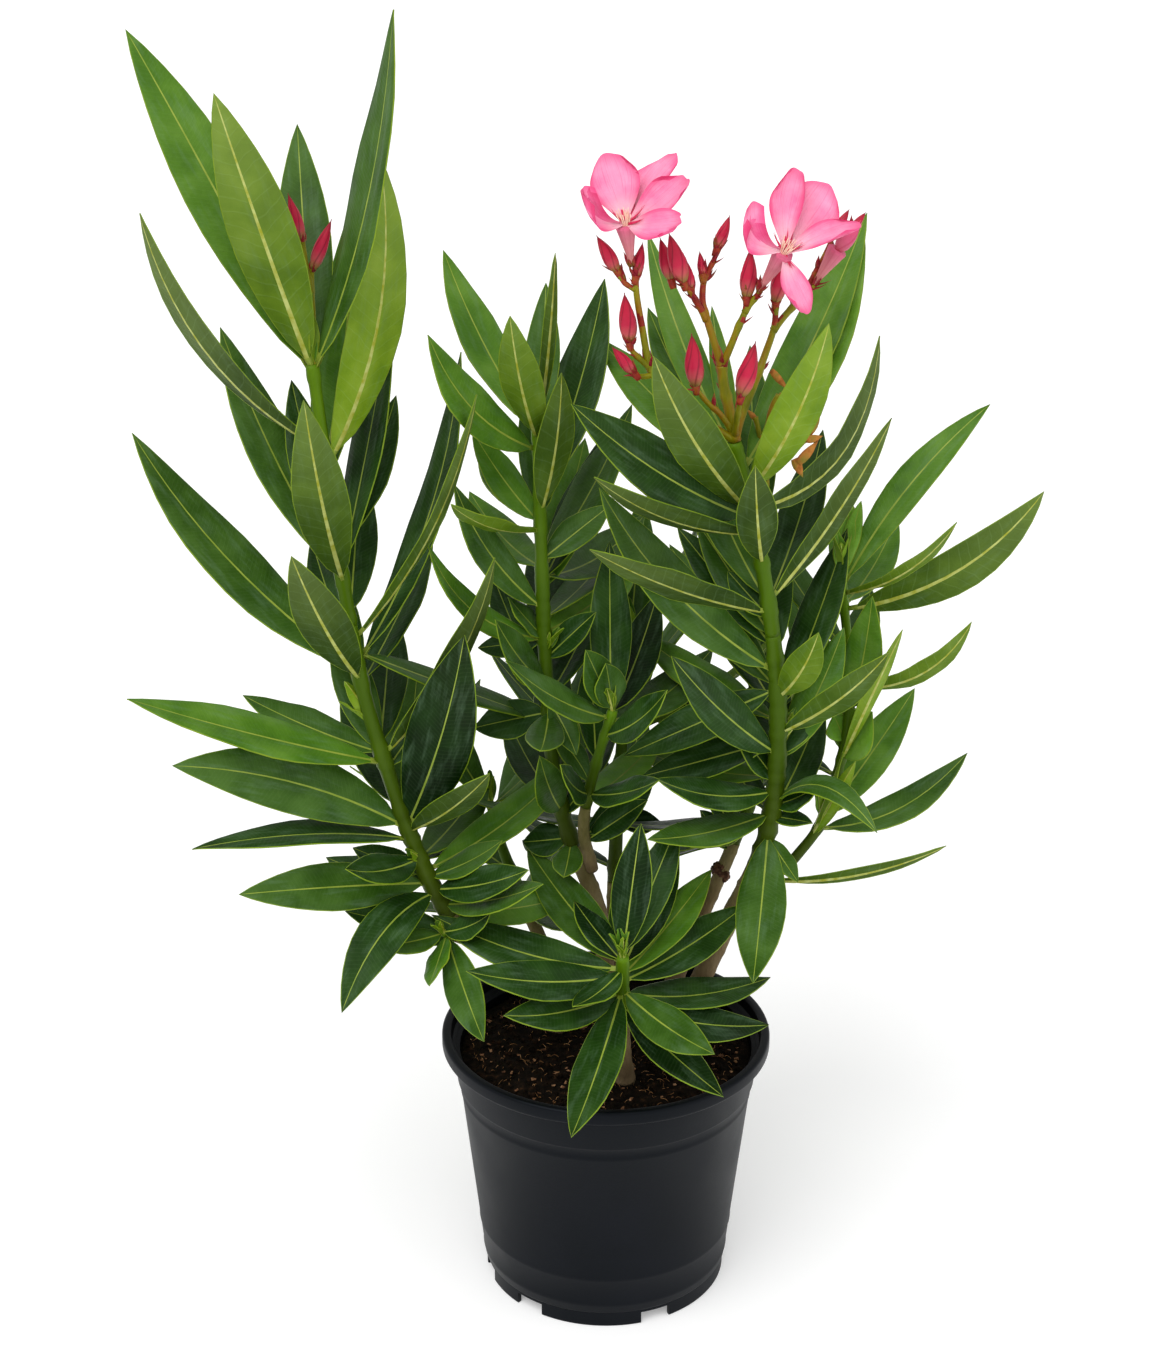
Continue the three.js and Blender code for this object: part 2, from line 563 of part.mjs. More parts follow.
// The pot: one turned profile, with notches through its foot ring and drain holes through its floor
function makePot() {
  const inner = innerWall();
  const lipFoot = POT_HEIGHT - LIP_HEIGHT;
  const profile = [
    [0, 0],
    [HUB_RADIUS, 0],
    [HUB_RADIUS, FLOOR_UNDERSIDE],
    [FOOT_RING_RADIUS - FOOT_RING_THICKNESS, FLOOR_UNDERSIDE],
    [FOOT_RING_RADIUS - FOOT_RING_THICKNESS, 0],
    [FOOT_RING_RADIUS, 0],
    [FOOT_RING_RADIUS, FOOT_RING_HEIGHT - EDGE_ROUNDING],
    [WALL_FOOT_RADIUS, FOOT_RING_HEIGHT],
    [COLLAR_RADIUS - COLLAR_STEP, COLLAR_FOOT],
    [COLLAR_RADIUS, COLLAR_FOOT + COLLAR_STEP],
    [COLLAR_RADIUS, lipFoot],
    [RIM_RADIUS - EDGE_ROUNDING, lipFoot],
    [RIM_RADIUS, lipFoot + EDGE_ROUNDING],
    [RIM_RADIUS, POT_HEIGHT - EDGE_ROUNDING],
    [RIM_RADIUS - EDGE_ROUNDING, POT_HEIGHT],
    [LIP_MOUTH_RADIUS + EDGE_ROUNDING, POT_HEIGHT],
    [LIP_MOUTH_RADIUS, POT_HEIGHT - EDGE_ROUNDING],
    ...inner.reverse(),
    [0, inner.at(-1)[1]],
  ];
  let pot = turned(profile, new THREE.Vector3(), UP, POT_SIDES);
  for (const degrees of NOTCH_TURNS) {
    const notch = new THREE.BoxGeometry(NOTCH_WIDTH, FOOT_RING_THICKNESS * 4, NOTCH_HEIGHT * 2);
    notch.translate(0, -FOOT_RING_RADIUS, 0);
    notch.rotateZ(THREE.MathUtils.degToRad(degrees));
    pot = pot.subtract(solid(notch));
  }
  for (let hole = 0; hole < DRAIN_HOLES; hole++) {
    const reach = 4 * FLOOR_THICKNESS;
    const drill = new THREE.CylinderGeometry(DRAIN_HOLE_RADIUS, DRAIN_HOLE_RADIUS, reach, DRAIN_HOLE_SIDES);
    drill.rotateX(Math.PI / 2);
    drill.translate(0, DRAIN_CIRCLE_RADIUS, FLOOR_UNDERSIDE + FLOOR_THICKNESS / 2);
    drill.rotateZ((2 * Math.PI * hole) / DRAIN_HOLES);
    pot = pot.subtract(solid(drill));
  }
  return pot;
}

// The pot's inner face from the floor up to just under the lip, as radius and height
function innerWall() {
  const floorTop = FLOOR_UNDERSIDE + FLOOR_THICKNESS;
  return [
    [WALL_FOOT_RADIUS - WALL_THICKNESS, floorTop],
    [COLLAR_RADIUS - COLLAR_STEP - WALL_THICKNESS, COLLAR_FOOT],
    [COLLAR_RADIUS - WALL_THICKNESS, COLLAR_FOOT + COLLAR_STEP],
    [COLLAR_RADIUS - WALL_THICKNESS, POT_HEIGHT - LIP_HEIGHT],
  ];
}

// The soil fills the pot and rises a little from its edge to a level top that the stems stand on
function makeSoil() {
  const [foot, step, collar] = innerWall();
  const profile = [
    [0, foot[1] + GAP],
    [foot[0] - GAP, foot[1] + GAP],
    [step[0] - GAP, step[1]],
    [collar[0] - GAP, collar[1] + GAP],
    [collar[0] - GAP, SOIL_EDGE_TOP],
    [SOIL_PLATEAU_RADIUS, SOIL_TOP - GAP],
    [0, SOIL_TOP - GAP],
  ];
  return turned(profile, new THREE.Vector3(), UP, POT_SIDES);
}

const pot = makePot();
const soil = makeSoil();
addPiece("pot", pot, "pot");
addPiece("soil", soil, "soil");
grown.push(pot, soil);

// The flower head comes before the leaves, which keep clear of it: branches, buds and three open blooms
const head = HEAD_BRANCHES.map((_, i) =>
  limb(stemCurve(headBranch(i)), 0, 1, BRANCH_RADII, { sides: BRANCH_SIDES, step: BRANCH_STEP, level: true }),
);
for (const [branch, share, ...pose] of BUDS) {
  head.push(bud(stemCurve(headBranch(branch)).getPoint(share), pose));
}
for (const flower of BLOOMS) head.push(...bloom(flower));
const flowerHead = wholeBody(wasm.Manifold.union(head));
addPiece("flower_head", flowerHead, "flower");
grown.push(flowerHead);

// Every stem as the shares of its curve between its pieces: foot, first leaves, crown if it has one, and tip
const stems = {};
for (const [name, shoot] of Object.entries(SHOOTS)) {
  const curve = stemCurve(shoot.path);
  const joints = [shoot.leafy, shoot.crown].filter(Boolean);
  stems[name] = { curve, shares: [0, ...joints.map((height) => shareAtHeight(curve, height)), 1] };
}

function stemPiece(name, i, options) {
  const { curve, shares } = stems[name];
  const ahead = curve.getPoint(shares[i] + SHORT_SHARE).distanceTo(curve.getPoint(shares[i]));
  const seam = i > 0 ? (GAP * SHORT_SHARE) / ahead : 0;
  const rooted = i === 0 && !SHOOTS[name].parent;
  return limb(curve, shares[i] + seam, shares[i + 1], SHOOTS[name].radii, { rooted, ...options });
}

// A stem runs bare from the soil up to its first leaves, or from its parent, which it is cut to fit
for (const [name, { parent }] of Object.entries(SHOOTS)) {
  let bare = stemPiece(name, 0);
  if (parent) {
    for (let i = 0; i + 1 < stems[parent].shares.length; i++) {
      bare = bare.subtract(stemPiece(parent, i, { spare: GAP }));
    }
    bare = wholeBody(bare);
  }
  addPiece("stem_" + name, bare, "wood");
  grown.push(bare);
}

// The leafy stems come before the leaves, so that no leaf grows through one
const masses = [];
for (const [name, shoot] of Object.entries(SHOOTS)) {
  const { curve, shares } = stems[name];
  const rows = [...(shoot.leaves ?? [])];
  if (shoot.back) rows.push(...backRows(shoot.back));
  if (shoot.whorls) rows.push(...whorlRows(shoot.whorls));
  for (let i = 1; i + 1 < shares.length; i++) {
    const low = curve.getPoint(shares[i]).z;
    const high = i + 2 < shares.length ? curve.getPoint(shares[i + 1]).z : Infinity;
    const part = shares.length > 3 ? ["_lower", "_upper"][i - 1] : "";
    masses.push({
      name: "foliage_" + name + part,
      curve,
      solids: [stemPiece(name, i)],
      rows: rows.filter(([height]) => height > low && height <= high),
      random: stream(masses.length + 1),
    });
  }
}

const youngStalk = stemCurve(YOUNG_STALK);
const crownOfLeft = masses.find((mass) => mass.name === "foliage_left_upper");
crownOfLeft.solids.push(limb(youngStalk, 0, 1, BRANCH_RADII, { sides: BRANCH_SIDES, step: BRANCH_STEP }));
for (const [share, ...pose] of YOUNG_BUDS) crownOfLeft.solids.push(bud(youngStalk.getPoint(share), pose));

for (const mass of masses) {
  const others = masses.filter((other) => other !== mass).flatMap((other) => other.solids);
  mass.neighbours = [...grown, ...others];
  for (const row of mass.rows) growLeaf(mass, row);
  addPiece(mass.name, wholeBody(wasm.Manifold.union(mass.solids)), "leaf");
}

export default group;
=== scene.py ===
import json
import math
import random

import bmesh
import bpy
import numpy as np
from mathutils import Matrix, Vector, noise
from mathutils.kdtree import KDTree

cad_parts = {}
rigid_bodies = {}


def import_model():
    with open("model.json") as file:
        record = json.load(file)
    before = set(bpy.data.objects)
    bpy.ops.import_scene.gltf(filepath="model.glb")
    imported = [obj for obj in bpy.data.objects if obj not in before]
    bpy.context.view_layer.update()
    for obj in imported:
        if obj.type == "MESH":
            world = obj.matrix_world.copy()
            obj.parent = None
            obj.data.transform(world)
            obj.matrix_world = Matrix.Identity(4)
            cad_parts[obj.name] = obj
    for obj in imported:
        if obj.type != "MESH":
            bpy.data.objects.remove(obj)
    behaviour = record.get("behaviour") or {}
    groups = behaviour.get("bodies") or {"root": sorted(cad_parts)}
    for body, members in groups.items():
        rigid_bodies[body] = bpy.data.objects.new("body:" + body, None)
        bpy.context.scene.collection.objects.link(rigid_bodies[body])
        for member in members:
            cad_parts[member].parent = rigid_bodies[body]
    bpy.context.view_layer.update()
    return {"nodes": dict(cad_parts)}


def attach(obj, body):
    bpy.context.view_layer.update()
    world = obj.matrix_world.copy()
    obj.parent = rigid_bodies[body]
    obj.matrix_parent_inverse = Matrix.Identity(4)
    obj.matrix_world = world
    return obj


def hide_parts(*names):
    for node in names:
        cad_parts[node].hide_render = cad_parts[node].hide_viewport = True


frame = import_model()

# ---- Pot ----
# A round nursery pot moulded in one piece from black polypropylene: a rolled rim, a collar with a fine
# line under it, a wall that narrows downwards, and a foot ring with eight notches round a floor with
# eight drain holes. The plastic is satin, with the faint cloudiness and dust of a used pot.
# The plant's sizes are in millimetres. Only those of its finishes are in metres, as the shader takes them.
MM = 0.001
POT_HEIGHT = 156.5
RIM_RADIUS = 95
LIP_HEIGHT = 8.5
LIP_MOUTH_RADIUS = 89.5
COLLAR_RADIUS = 86.6
COLLAR_FOOT = 127
COLLAR_STEP = 1.4
WALL_FOOT_RADIUS = 72
WALL_THICKNESS = 1.8
FOOT_RING_RADIUS = 70.8
FOOT_RING_HEIGHT = 10.5
FOOT_RING_THICKNESS = 3
FLOOR_UNDERSIDE = 8.5
FLOOR_THICKNESS = 2
HUB_RADIUS = 16
NOTCH_HEIGHT = 7.5
NOTCH_WIDTH = 18
NOTCH_TURNS = [24, -39, -75, -115, -152, 170, 134, 98]
DRAIN_HOLES = 8
DRAIN_HOLE_RADIUS = 5
DRAIN_CIRCLE_RADIUS = 46
DRAIN_HOLE_SIDES = 24
RIM_ROUNDING = 1.9
EDGE_ROUNDING = 0.6
RIDGE_HEIGHTS = [15.5, 34, 120]
RIDGE_DEPTH = 0.35
RIDGE_HALF_WIDTH = 1.2
CUTTER_DEPTH = 8
POT_SIDES = 144
SMOOTH_EDGE = math.radians(38)


def blend(a, b, share):
    return a + (b - a) * share


def tone(red, green, blue):
    """A colour given as it shows on a screen, from 0 to 255, turned into the shader's own numbers."""
    def linear(value):
        share = value / 255
        return share / 12.92 if share <= 0.04045 else ((share + 0.055) / 1.055) ** 2.4
    return (linear(red), linear(green), linear(blue), 1.0)


def feed(tree, target, inputs):
    """Gives each named input of a node a plain value, or links it to another node's output."""
    for name, value in inputs.items():
        if isinstance(value, bpy.types.NodeSocket):
            tree.links.new(value, target.inputs[name])
        else:
            target.inputs[name].default_value = value


def node(tree, kind, inputs, **settings):
    made = tree.nodes.new("ShaderNode" + kind)
    for name, value in settings.items():
        setattr(made, name, value)
    feed(tree, made, inputs)
    return made


def coat(tree, inputs):
    """Feeds the material's own shader."""
    feed(tree, tree.nodes["Principled BSDF"], inputs)


def ramp(tree, source, stops):
    """A colour that runs through its stops, each a place from 0 to 1 and a colour, as the source rises."""
    made = node(tree, "ValToRGB", {"Fac": source})
    marks = made.color_ramp.elements
    while len(marks) < len(stops):
        marks.new(0.5)
    for i, (place, colour) in enumerate(stops):
        marks[i].position, marks[i].color = place, colour
    return made.outputs["Color"]


def amount(tree, source, start, end, strength=1, smooth=False):
    """How strong a layer is: from 0 where its source is at the start to the strength at the end."""
    return node(tree, "MapRange", {"Value": source, "From Min": start, "From Max": end, "To Max": strength},
                interpolation_type="SMOOTHSTEP" if smooth else "LINEAR").outputs["Result"]


def layer(tree, under, over, strength, blend_type="MIX"):
    """One colour laid over another."""
    return node(tree, "Mix", {"A": under, "B": over, "Factor": strength}, data_type="RGBA",
                blend_type=blend_type).outputs["Result"]


def finish(name, tones, patch, roughness, grain, relief, gloss=0.5, stretch=(1, 1, 1), spread=(0.34, 0.66)):
    """A finish whose colour drifts between its tones in patches so many metres wide, over a fine relief
    of its own grain. Roughness drifts with the colour from its first to its second value."""
    material = bpy.data.materials.new(name)
    material.use_nodes = True
    tree = material.node_tree
    where = node(tree, "TexCoord", {})
    place = node(tree, "Mapping", {"Vector": where.outputs["Object"], "Scale": stretch}).outputs["Vector"]
    drift = node(tree, "TexNoise", {"Vector": place, "Scale": 1 / patch, "Detail": 6}).outputs["Fac"]
    places = [blend(*spread, i / (len(tones) - 1)) for i in range(len(tones))]
    colour = ramp(tree, drift, list(zip(places, tones)))
    dull = node(tree, "MapRange", {"Value": drift, "From Min": spread[0], "From Max": spread[1],
                                   "To Min": roughness[0], "To Max": roughness[1]})
    fine = node(tree, "TexNoise", {"Vector": place, "Scale": 1 / grain, "Detail": 4})
    bump = node(tree, "Bump", {"Height": fine.outputs["Fac"], "Distance": relief, "Strength": 1})
    coat(tree, {"Base Color": colour, "Roughness": dull.outputs["Result"],
                "Normal": bump.outputs["Normal"], "Specular IOR Level": gloss})
    return material


def baked(name, mesh):
    """Turns a bmesh into mesh data and frees it."""
    data = bpy.data.meshes.new(name)
    mesh.to_mesh(data)
    mesh.free()
    return data


def placed(name, data):
    """A new object in the scene."""
    made = bpy.data.objects.new(name, data)
    bpy.context.scene.collection.objects.link(made)
    return made


def piece(name, mesh, materials, nodes=(), smooth=math.pi):
    """Puts a finished bmesh or mesh into the scene as a piece of the plant, with its faces turned outward
    and shaded smooth but for its sharp edges. It rides on the plant's one body and stands for the CAD nodes
    that it replaces."""
    if isinstance(mesh, bmesh.types.BMesh):
        mesh.normal_update()
        bmesh.ops.recalc_face_normals(mesh, faces=mesh.faces)
        mesh = baked(name, mesh)
    made = placed(name, mesh)
    for material in materials:
        mesh.materials.append(material)
    mesh.shade_smooth()
    if smooth < math.pi:
        mesh.set_sharp_from_angle(angle=smooth)
    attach(made, "root")
    if nodes:
        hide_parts(*nodes)
    return made


def turned(profile, sides):
    """A profile of [radius, height] in millimetres spun once round the upright axis."""
    mesh = bmesh.new()
    points = [mesh.verts.new((radius * MM, 0, height * MM)) for radius, height in profile]
    edges = [mesh.edges.new(pair) for pair in zip(points, points[1:])]
    bmesh.ops.spin(mesh, geom=points + edges, cent=(0, 0, 0), axis=(0, 0, 1), angle=2 * math.pi,
                   steps=sides, use_merge=True)
    bmesh.ops.remove_doubles(mesh, verts=mesh.verts, dist=1e-7)
    return mesh


def rounded(centre, radius, start, end, steps=5):
    """Points of [radius, height] along an arc, between two angles in degrees."""
    turns = [math.radians(start + (end - start) * i / steps) for i in range(steps + 1)]
    return [[centre[0] + radius * math.cos(a), centre[1] + radius * math.sin(a)] for a in turns]


def wall_radius(height):
    share = (height - FOOT_RING_HEIGHT) / (COLLAR_FOOT - FOOT_RING_HEIGHT)
    return blend(WALL_FOOT_RADIUS, COLLAR_RADIUS - COLLAR_STEP, share)


def ridge(height):
    """A fine moulding line that stands out round the wall at one height."""
    low, high = height - RIDGE_HALF_WIDTH, height + RIDGE_HALF_WIDTH
    return [[wall_radius(low), low], [wall_radius(height) + RIDGE_DEPTH, height], [wall_radius(high), high]]


lip_foot = POT_HEIGHT - LIP_HEIGHT
inner_foot = FLOOR_UNDERSIDE + FLOOR_THICKNESS
ring_inside = FOOT_RING_RADIUS - FOOT_RING_THICKNESS
pot_profile = [
    [0, 0], [HUB_RADIUS - EDGE_ROUNDING, 0], [HUB_RADIUS, EDGE_ROUNDING], [HUB_RADIUS, FLOOR_UNDERSIDE],
    [ring_inside, FLOOR_UNDERSIDE], [ring_inside, 0.5], [ring_inside + 0.5, 0],
    [FOOT_RING_RADIUS - EDGE_ROUNDING, 0], [FOOT_RING_RADIUS, EDGE_ROUNDING],
    [FOOT_RING_RADIUS, FOOT_RING_HEIGHT - 1.4],
    [WALL_FOOT_RADIUS - 0.3, FOOT_RING_HEIGHT - 0.3], [WALL_FOOT_RADIUS, FOOT_RING_HEIGHT + 0.3],
    *[point for height in RIDGE_HEIGHTS for point in ridge(height)],
    [COLLAR_RADIUS - COLLAR_STEP, COLLAR_FOOT - EDGE_ROUNDING], [COLLAR_RADIUS - 0.5, COLLAR_FOOT + 0.5],
    [COLLAR_RADIUS, COLLAR_FOOT + COLLAR_STEP],
    [COLLAR_RADIUS, lip_foot - 1.2], [COLLAR_RADIUS + 0.5, lip_foot],
    *rounded([RIM_RADIUS - RIM_ROUNDING, lip_foot + RIM_ROUNDING], RIM_ROUNDING, -90, 0),
    *rounded([RIM_RADIUS - RIM_ROUNDING, POT_HEIGHT - RIM_ROUNDING], RIM_ROUNDING, 0, 90),
    *rounded([LIP_MOUTH_RADIUS + RIM_ROUNDING, POT_HEIGHT - RIM_ROUNDING], RIM_ROUNDING, 90, 180),
    [LIP_MOUTH_RADIUS - 0.4, lip_foot + 1.5], [COLLAR_RADIUS - WALL_THICKNESS, lip_foot - 2],
    [COLLAR_RADIUS - WALL_THICKNESS, COLLAR_FOOT + COLLAR_STEP],
    [COLLAR_RADIUS - COLLAR_STEP - WALL_THICKNESS, COLLAR_FOOT],
    [WALL_FOOT_RADIUS - WALL_THICKNESS, inner_foot + 2],
    [WALL_FOOT_RADIUS - WALL_THICKNESS - 2, inner_foot], [0, inner_foot],
]
black_plastic = finish("black_plastic", [tone(3, 5, 8), tone(6, 8, 12), tone(10, 12, 17)], patch=0.05,
                       roughness=(0.4, 0.52), grain=0.0011, relief=0.00005, gloss=0.13)
coat(black_plastic.node_tree, {"Specular Tint": (0.8, 0.88, 1, 1)})

# The notches and drain holes are cut through by one set of cutters, which is then thrown away.
cutters = bmesh.new()
for degrees in NOTCH_TURNS:
    place = Matrix.Rotation(math.radians(degrees), 4, "Z") @ Matrix.Translation((0, -FOOT_RING_RADIUS * MM, 0))
    size = Matrix.Diagonal((NOTCH_WIDTH * MM, FOOT_RING_THICKNESS * 4 * MM, NOTCH_HEIGHT * 2 * MM, 1))
    bmesh.ops.create_cube(cutters, size=1, matrix=place @ size)
for hole in range(DRAIN_HOLES):
    spoke = Matrix.Rotation(2 * math.pi * hole / DRAIN_HOLES, 4, "Z")
    place = spoke @ Matrix.Translation((0, DRAIN_CIRCLE_RADIUS * MM, (FLOOR_UNDERSIDE + 1) * MM))
    bmesh.ops.create_cone(cutters, cap_ends=True, segments=DRAIN_HOLE_SIDES,
                          radius1=DRAIN_HOLE_RADIUS * MM, radius2=DRAIN_HOLE_RADIUS * MM,
                          depth=CUTTER_DEPTH * MM, matrix=place)
cutter = placed("cutters", baked("cutters", cutters))
pot = piece("pot_shell", turned(pot_profile, POT_SIDES), [black_plastic], ["pot"], SMOOTH_EDGE)
cut = pot.modifiers.new("notches", "BOOLEAN")
cut.object = cutter
cut.solver = "EXACT"
bpy.context.view_layer.update()
cut_data = bpy.data.meshes.new_from_object(pot.evaluated_get(bpy.context.evaluated_depsgraph_get()))
pot.modifiers.clear()
pot.data = cut_data
pot.data.shade_smooth()
pot.data.set_sharp_from_angle(angle=SMOOTH_EDGE)
bpy.data.objects.remove(cutter)

# ---- Soil ----
# Peat-based potting soil, nearly black and loose, filled to just under the rim. Its top is crumbly, and
# light brown root fibres and small chips of bark lie in and on it.
SOIL_TOP = 146
SOIL_EDGE_TOP = 142.5
SOIL_PLATEAU_RADIUS = 66
SOIL_GAP = 0.3
SOIL_RING = 1.6
SOIL_RELIEF = 1.5
SOIL_SETTLING = 1.2
LUMPS_PER_MM = 0.09
LUMP_RANGE = (-1.6, 0.8)
CRUMBS = 1100
FINE_CRUMBS = 0.8
FINE_CRUMB_RADII = (0.5, 1.1)
COARSE_CRUMB_RADII = (1.1, 2.4)
CHIPS = 140
CHIP_LENGTHS = (0.9, 2.8)
CHIP_THICKNESS = 0.6
CHIP_ROUNDING = 0.1
FIBRES = 420
FIBRE_LENGTHS = (1.5, 5)
FIBRE_RADII = (0.12, 0.26)


def soil_height(x, y):
    """How high the top of the soil lies at a place, in millimetres."""
    reach = math.hypot(x, y)
    edge = COLLAR_RADIUS - WALL_THICKNESS
    fall = max(0, reach - SOIL_PLATEAU_RADIUS) / (edge - SOIL_PLATEAU_RADIUS)
    level = SOIL_TOP - SOIL_SETTLING + (SOIL_EDGE_TOP - SOIL_TOP) * fall
    lumps = noise.fractal(Vector((x, y, 3)) * LUMPS_PER_MM, 1.0, 2.0, 5)
    return level + SOIL_RELIEF * max(LUMP_RANGE[0], min(LUMP_RANGE[1], lumps))


soil_edge = COLLAR_RADIUS - WALL_THICKNESS - SOIL_GAP
rings = int(soil_edge / SOIL_RING)
soil_profile = [[0, inner_foot + 0.5], [WALL_FOOT_RADIUS - WALL_THICKNESS - 0.5, inner_foot + 2],
                [COLLAR_RADIUS - COLLAR_STEP - WALL_THICKNESS - 0.5, COLLAR_FOOT],
                [soil_edge, COLLAR_FOOT + COLLAR_STEP + 0.5]]
soil_profile += [[soil_edge * (rings - i) / rings, SOIL_EDGE_TOP] for i in range(rings + 1)]
soil = turned(soil_profile, POT_SIDES)
for vert in soil.verts:
    if vert.co.z > (SOIL_EDGE_TOP - 1) * MM:
        vert.co.z = soil_height(vert.co.x / MM, vert.co.y / MM) * MM
peat = finish("peat", [tone(6, 4, 2), tone(15, 10, 5), tone(28, 18, 10), tone(70, 47, 29)], patch=0.004,
              roughness=(0.95, 0.85), grain=0.0012, relief=0.0008, gloss=0.08, spread=(0.3, 0.78))
piece("soil_fill", soil, [peat], ["soil"])

crumb_peat = finish("crumb_peat", [tone(8, 5, 3), tone(20, 13, 7), tone(46, 30, 18)], patch=0.003,
                    roughness=(0.95, 0.85), grain=0.0009, relief=0.0005, gloss=0.08)
fibre_tan = finish("fibre_tan", [tone(110, 74, 42), tone(160, 114, 70), tone(206, 160, 114)], patch=0.003,
                   roughness=(0.9, 0.7), grain=0.0006, relief=0.0001, gloss=0.25)
chip_brown = finish("chip_brown", [tone(72, 46, 28), tone(128, 88, 58), tone(186, 142, 106)], patch=0.003,
                    roughness=(0.9, 0.7), grain=0.0006, relief=0.0003, gloss=0.25)


def rod(mesh, sides, cuts, top=1):
    """A capped rod of unit radius and length, or a cone, cut into rings along its length. Gives its
    vertices."""
    before = len(mesh.verts)
    made = bmesh.ops.create_cone(mesh, cap_ends=True, segments=sides, radius1=1, radius2=top, depth=1)
    lengthwise = {edge for vert in made["verts"] for edge in vert.link_edges
                  if abs(edge.verts[0].co.z - edge.verts[1].co.z) > 0.5}
    bmesh.ops.subdivide_edges(mesh, edges=list(lengthwise), cuts=cuts)
    mesh.verts.ensure_lookup_table()
    return mesh.verts[before:]


def faces_of(verts):
    return {face for vert in verts for face in vert.link_faces}


def scatter_place(draw, margin=3):
    """A place on the soil, in millimetres, evenly spread over its top."""
    reach = (soil_edge - margin) * math.sqrt(draw.random())
    turn = 2 * math.pi * draw.random()
    return reach * math.cos(turn), reach * math.sin(turn)


crumbs = bmesh.new()
draw = random.Random(11)
for _ in range(CRUMBS):
    x, y = scatter_place(draw)
    size = draw.uniform(*(FINE_CRUMB_RADII if draw.random() < FINE_CRUMBS else COARSE_CRUMB_RADII))
    spot = Vector((x, y, soil_height(x, y) + size * 0.3)) * MM
    stretch = Matrix.Diagonal((draw.uniform(0.7, 1.3), draw.uniform(0.7, 1.3), draw.uniform(0.5, 0.9), 1))
    turn = Matrix.Rotation(draw.uniform(0, 6.3), 4, Vector((draw.random(), draw.random(), 1)).normalized())
    lump = bmesh.ops.create_icosphere(crumbs, subdivisions=1, radius=size * MM,
                                      matrix=Matrix.Translation(spot) @ turn @ stretch)
    for vert in lump["verts"]:
        vert.co += (vert.co - spot) * draw.uniform(-0.3, 0.25)
piece("soil_crumbs", crumbs, [crumb_peat])

chips = bmesh.new()
draw = random.Random(12)
for _ in range(CHIPS):
    x, y = scatter_place(draw, 5)
    size = draw.uniform(*CHIP_LENGTHS)
    spot = Vector((x, y, soil_height(x, y) + CHIP_THICKNESS)) * MM
    lay = Matrix.Rotation(draw.uniform(-0.4, 0.4), 4, "X") @ Matrix.Rotation(draw.uniform(-0.4, 0.4), 4, "Y")
    turn = Matrix.Rotation(draw.uniform(0, 6.3), 4, "Z")
    shape = Matrix.Diagonal((size * MM, size * draw.uniform(0.35, 0.8) * MM, CHIP_THICKNESS * MM, 1))
    flake = bmesh.ops.create_cube(chips, size=1, matrix=Matrix.Translation(spot) @ lay @ turn @ shape)
    for vert in flake["verts"]:
        vert.co += Vector([draw.uniform(-0.25, 0.25) * size * MM for _ in "xy"] + [0])
bmesh.ops.bevel(chips, geom=chips.edges, offset=CHIP_ROUNDING * MM, segments=1, affect="EDGES",
                profile=0.5, material=-1)
piece("soil_chips", chips, [chip_brown], smooth=SMOOTH_EDGE)

fibres = bmesh.new()
draw = random.Random(13)
for _ in range(FIBRES):
    x, y = scatter_place(draw, 7)
    reach = draw.uniform(*FIBRE_LENGTHS)
    heading = draw.uniform(0, 2 * math.pi)
    bend = draw.uniform(-0.5, 0.5)
    thick = draw.uniform(*FIBRE_RADII)
    arch = draw.uniform(0.2, 1.2)
    for vert in rod(fibres, 3, 3, 0.5):
        along = vert.co.z + 0.5
        turn = heading + bend * (along - 0.5)
        px = x + math.cos(turn) * (along - 0.5) * reach
        py = y + math.sin(turn) * (along - 0.5) * reach
        rise = 0.25 + arch * 4 * along * (1 - along)
        aside, up = vert.co.x * thick, vert.co.y * thick
        lift = Vector((-math.sin(turn) * aside, math.cos(turn) * aside, up))
        vert.co = (Vector((px, py, soil_height(px, py) + rise)) + lift) * MM
piece("soil_fibres", fibres, [fibre_tan])

# ---- Bark ----
# Ten stems stand in the soil or fork from another stem. Low down they are wood under thin grey-brown bark,
# with raised breathing pores, faint rings where leaves have dropped, and a slight flare where they meet
# the soil. Each is one tapering limb that bends on a smooth curve.
BARK_SIDES = 28
BARK_RING = 2.2
FLARE = 0.45
FLARE_HEIGHT = 9
NODE_SPACING = 17
LEAF_RING_SWELLING = 0.09
LEAF_RING_HEIGHT = 1.5
FURROW_DEPTH = 0.07
PORE_HEIGHT = 0.35
PORE_RARITY = 0.42
FORK_AGE = 0.5
UP = Vector((0, 0, 1))
# Away from the viewer, and the place of the viewer's eye in millimetres
AWAY = Vector((0, 1, 0))
VIEWPOINT = Vector((-17, -1162, 815))
